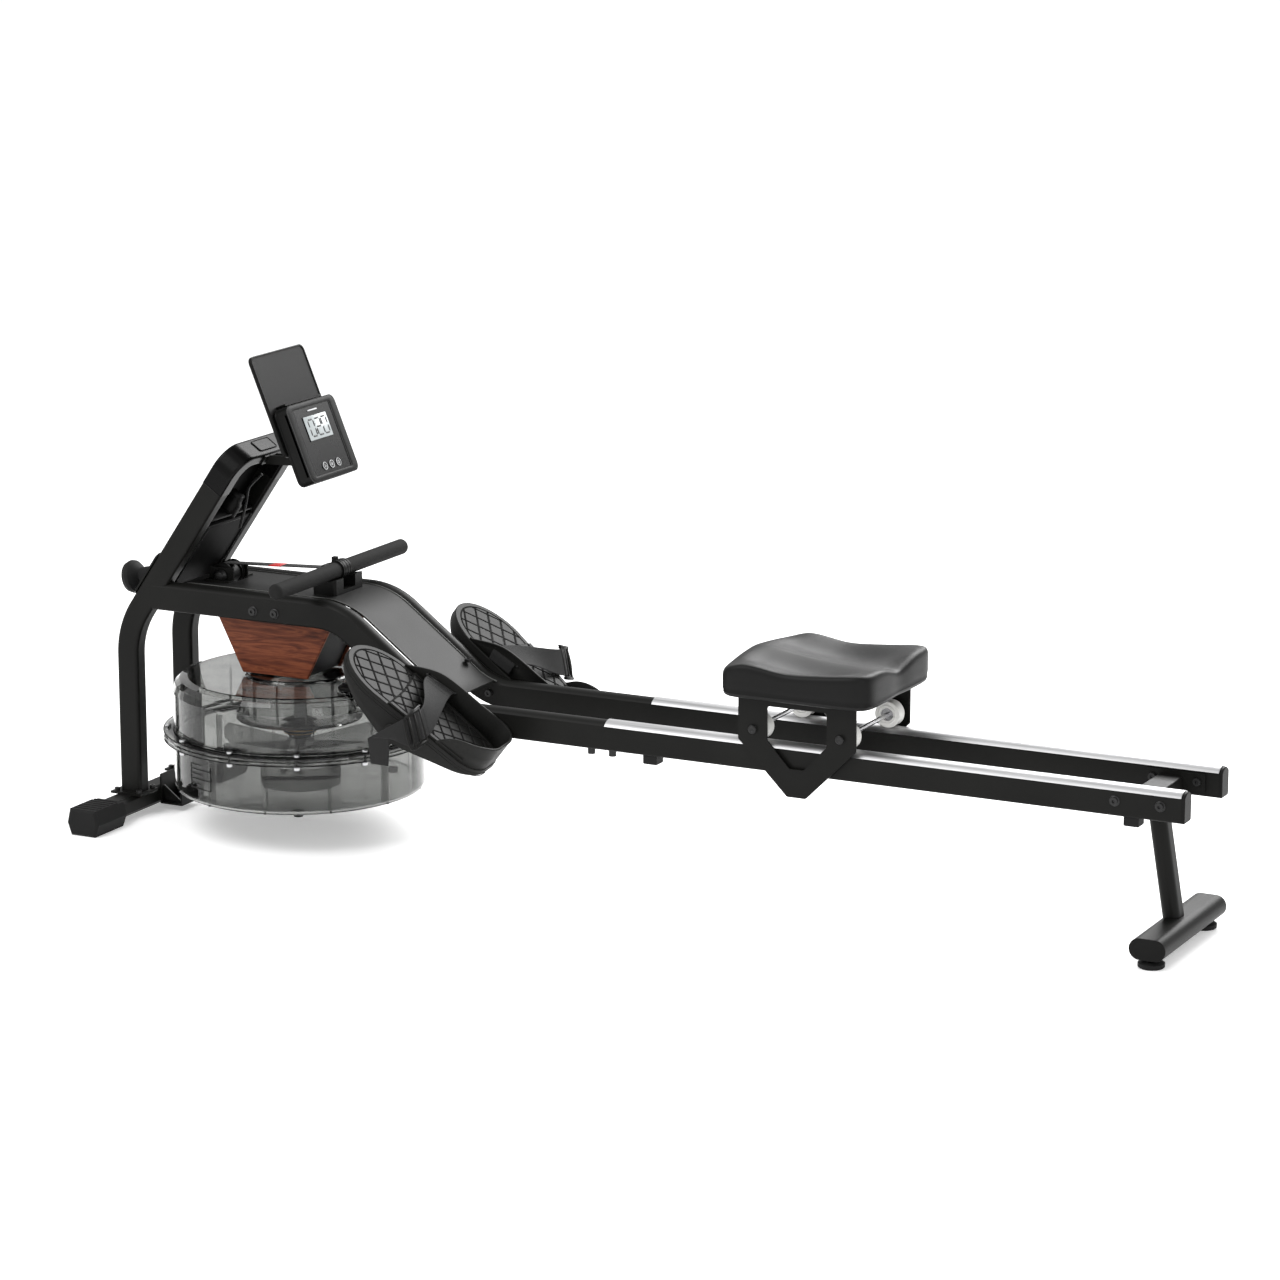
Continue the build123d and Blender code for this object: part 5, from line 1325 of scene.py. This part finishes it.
# ------------------------------------------------------------------ feet and bolts
FRAME_HALF, RAIL_Z, BEAM_Z = 0.104, 0.2605, 0.4055


def feet_details():
    ribs = []
    for side in (1, -1):
        for i in range(6):
            y = side * (0.178 + 0.012 * i)
            ribs.append(slab(lambda u, v, w: at(-0.302 + u, y + v, 0.0482 + w), 0.024, 0.0018, 0.001,
                             -0.0008, 0.0006, 0.0003, 2))
    solid("front_shoe_ribs", ribs, RUBBER, "frame")
    washer = [(0.0045, 0), (0.0088, 0), (0.0090, 0.0005), (0.0088, 0.0010), (0.0045, 0.0010)]
    washers = []
    for x, z in ((1.574, RAIL_Z), (1.651, RAIL_Z), (-0.032, BEAM_Z), (0.012, BEAM_Z)):
        washers += both_sides(x, FRAME_HALF, z, washer, 36)
    solid("bolt_washers", washers, BOLT, "frame")


feet_details()


# ------------------------------------------------------------------ floor, light and camera
def floor_and_light():
    size = 40.0
    mesh = bpy.data.meshes.new("floor")
    mesh.from_pydata(
        [(-size, -size, 0), (size, -size, 0), (size, size, 0), (-size, size, 0)], [], [(0, 1, 2, 3)])
    floor = bpy.data.objects.new("floor", mesh)
    bpy.context.scene.collection.objects.link(floor)
    made, _, shader = principled("pale_floor", (0.93, 0.93, 0.93), 0.7, specular=0.2)
    shader.inputs["Emission Color"].default_value = (1, 1, 1, 1)
    shader.inputs["Emission Strength"].default_value = 0.30
    mesh.materials.append(made)

    world = bpy.data.worlds.new("studio")
    bpy.context.scene.world = world
    world.use_nodes = True
    back = world.node_tree.nodes["Background"]
    back.inputs["Color"].default_value = (1.0, 1.0, 1.0, 1)
    back.inputs["Strength"].default_value = 0.78

    for name, place, aim, size, power in (
        ("key", (-1.6, -2.2, 3.2), (0, 0, 0.2), 2.4, 80),
        ("fill", (3.2, -2.6, 2.2), (0.4, 0, 0.3), 2.2, 30),
        ("rim", (0.4, 3.0, 2.7), (0.3, 0, 0.3), 2.6, 195),
    ):
        light = bpy.data.lights.new(name, "AREA")
        light.size = size
        light.energy = power
        lamp = bpy.data.objects.new(name, light)
        bpy.context.scene.collection.objects.link(lamp)
        lamp.location = place
        lamp.rotation_euler = (Vector(aim) - Vector(place)).to_track_quat("-Z", "Y").to_euler()


def photo_camera():
    azimuth, elevation, distance = math.radians(26.98), math.radians(13.07), 7.35855
    aim = at(0.67404, 0, 0.40699)
    back = Vector((
        math.sin(azimuth) * math.cos(elevation), -math.cos(azimuth) * math.cos(elevation),
        math.sin(elevation)))
    data = bpy.data.cameras.new("camera")
    data.sensor_width = 36.0
    data.lens = 122.05
    camera = bpy.data.objects.new("camera", data)
    bpy.context.scene.collection.objects.link(camera)
    camera.location = aim + back * distance
    camera.rotation_euler = (-back).to_track_quat("-Z", "Y").to_euler()
    bpy.context.scene.camera = camera


floor_and_light()
photo_camera()
bpy.context.scene.view_settings.view_transform = "Standard"
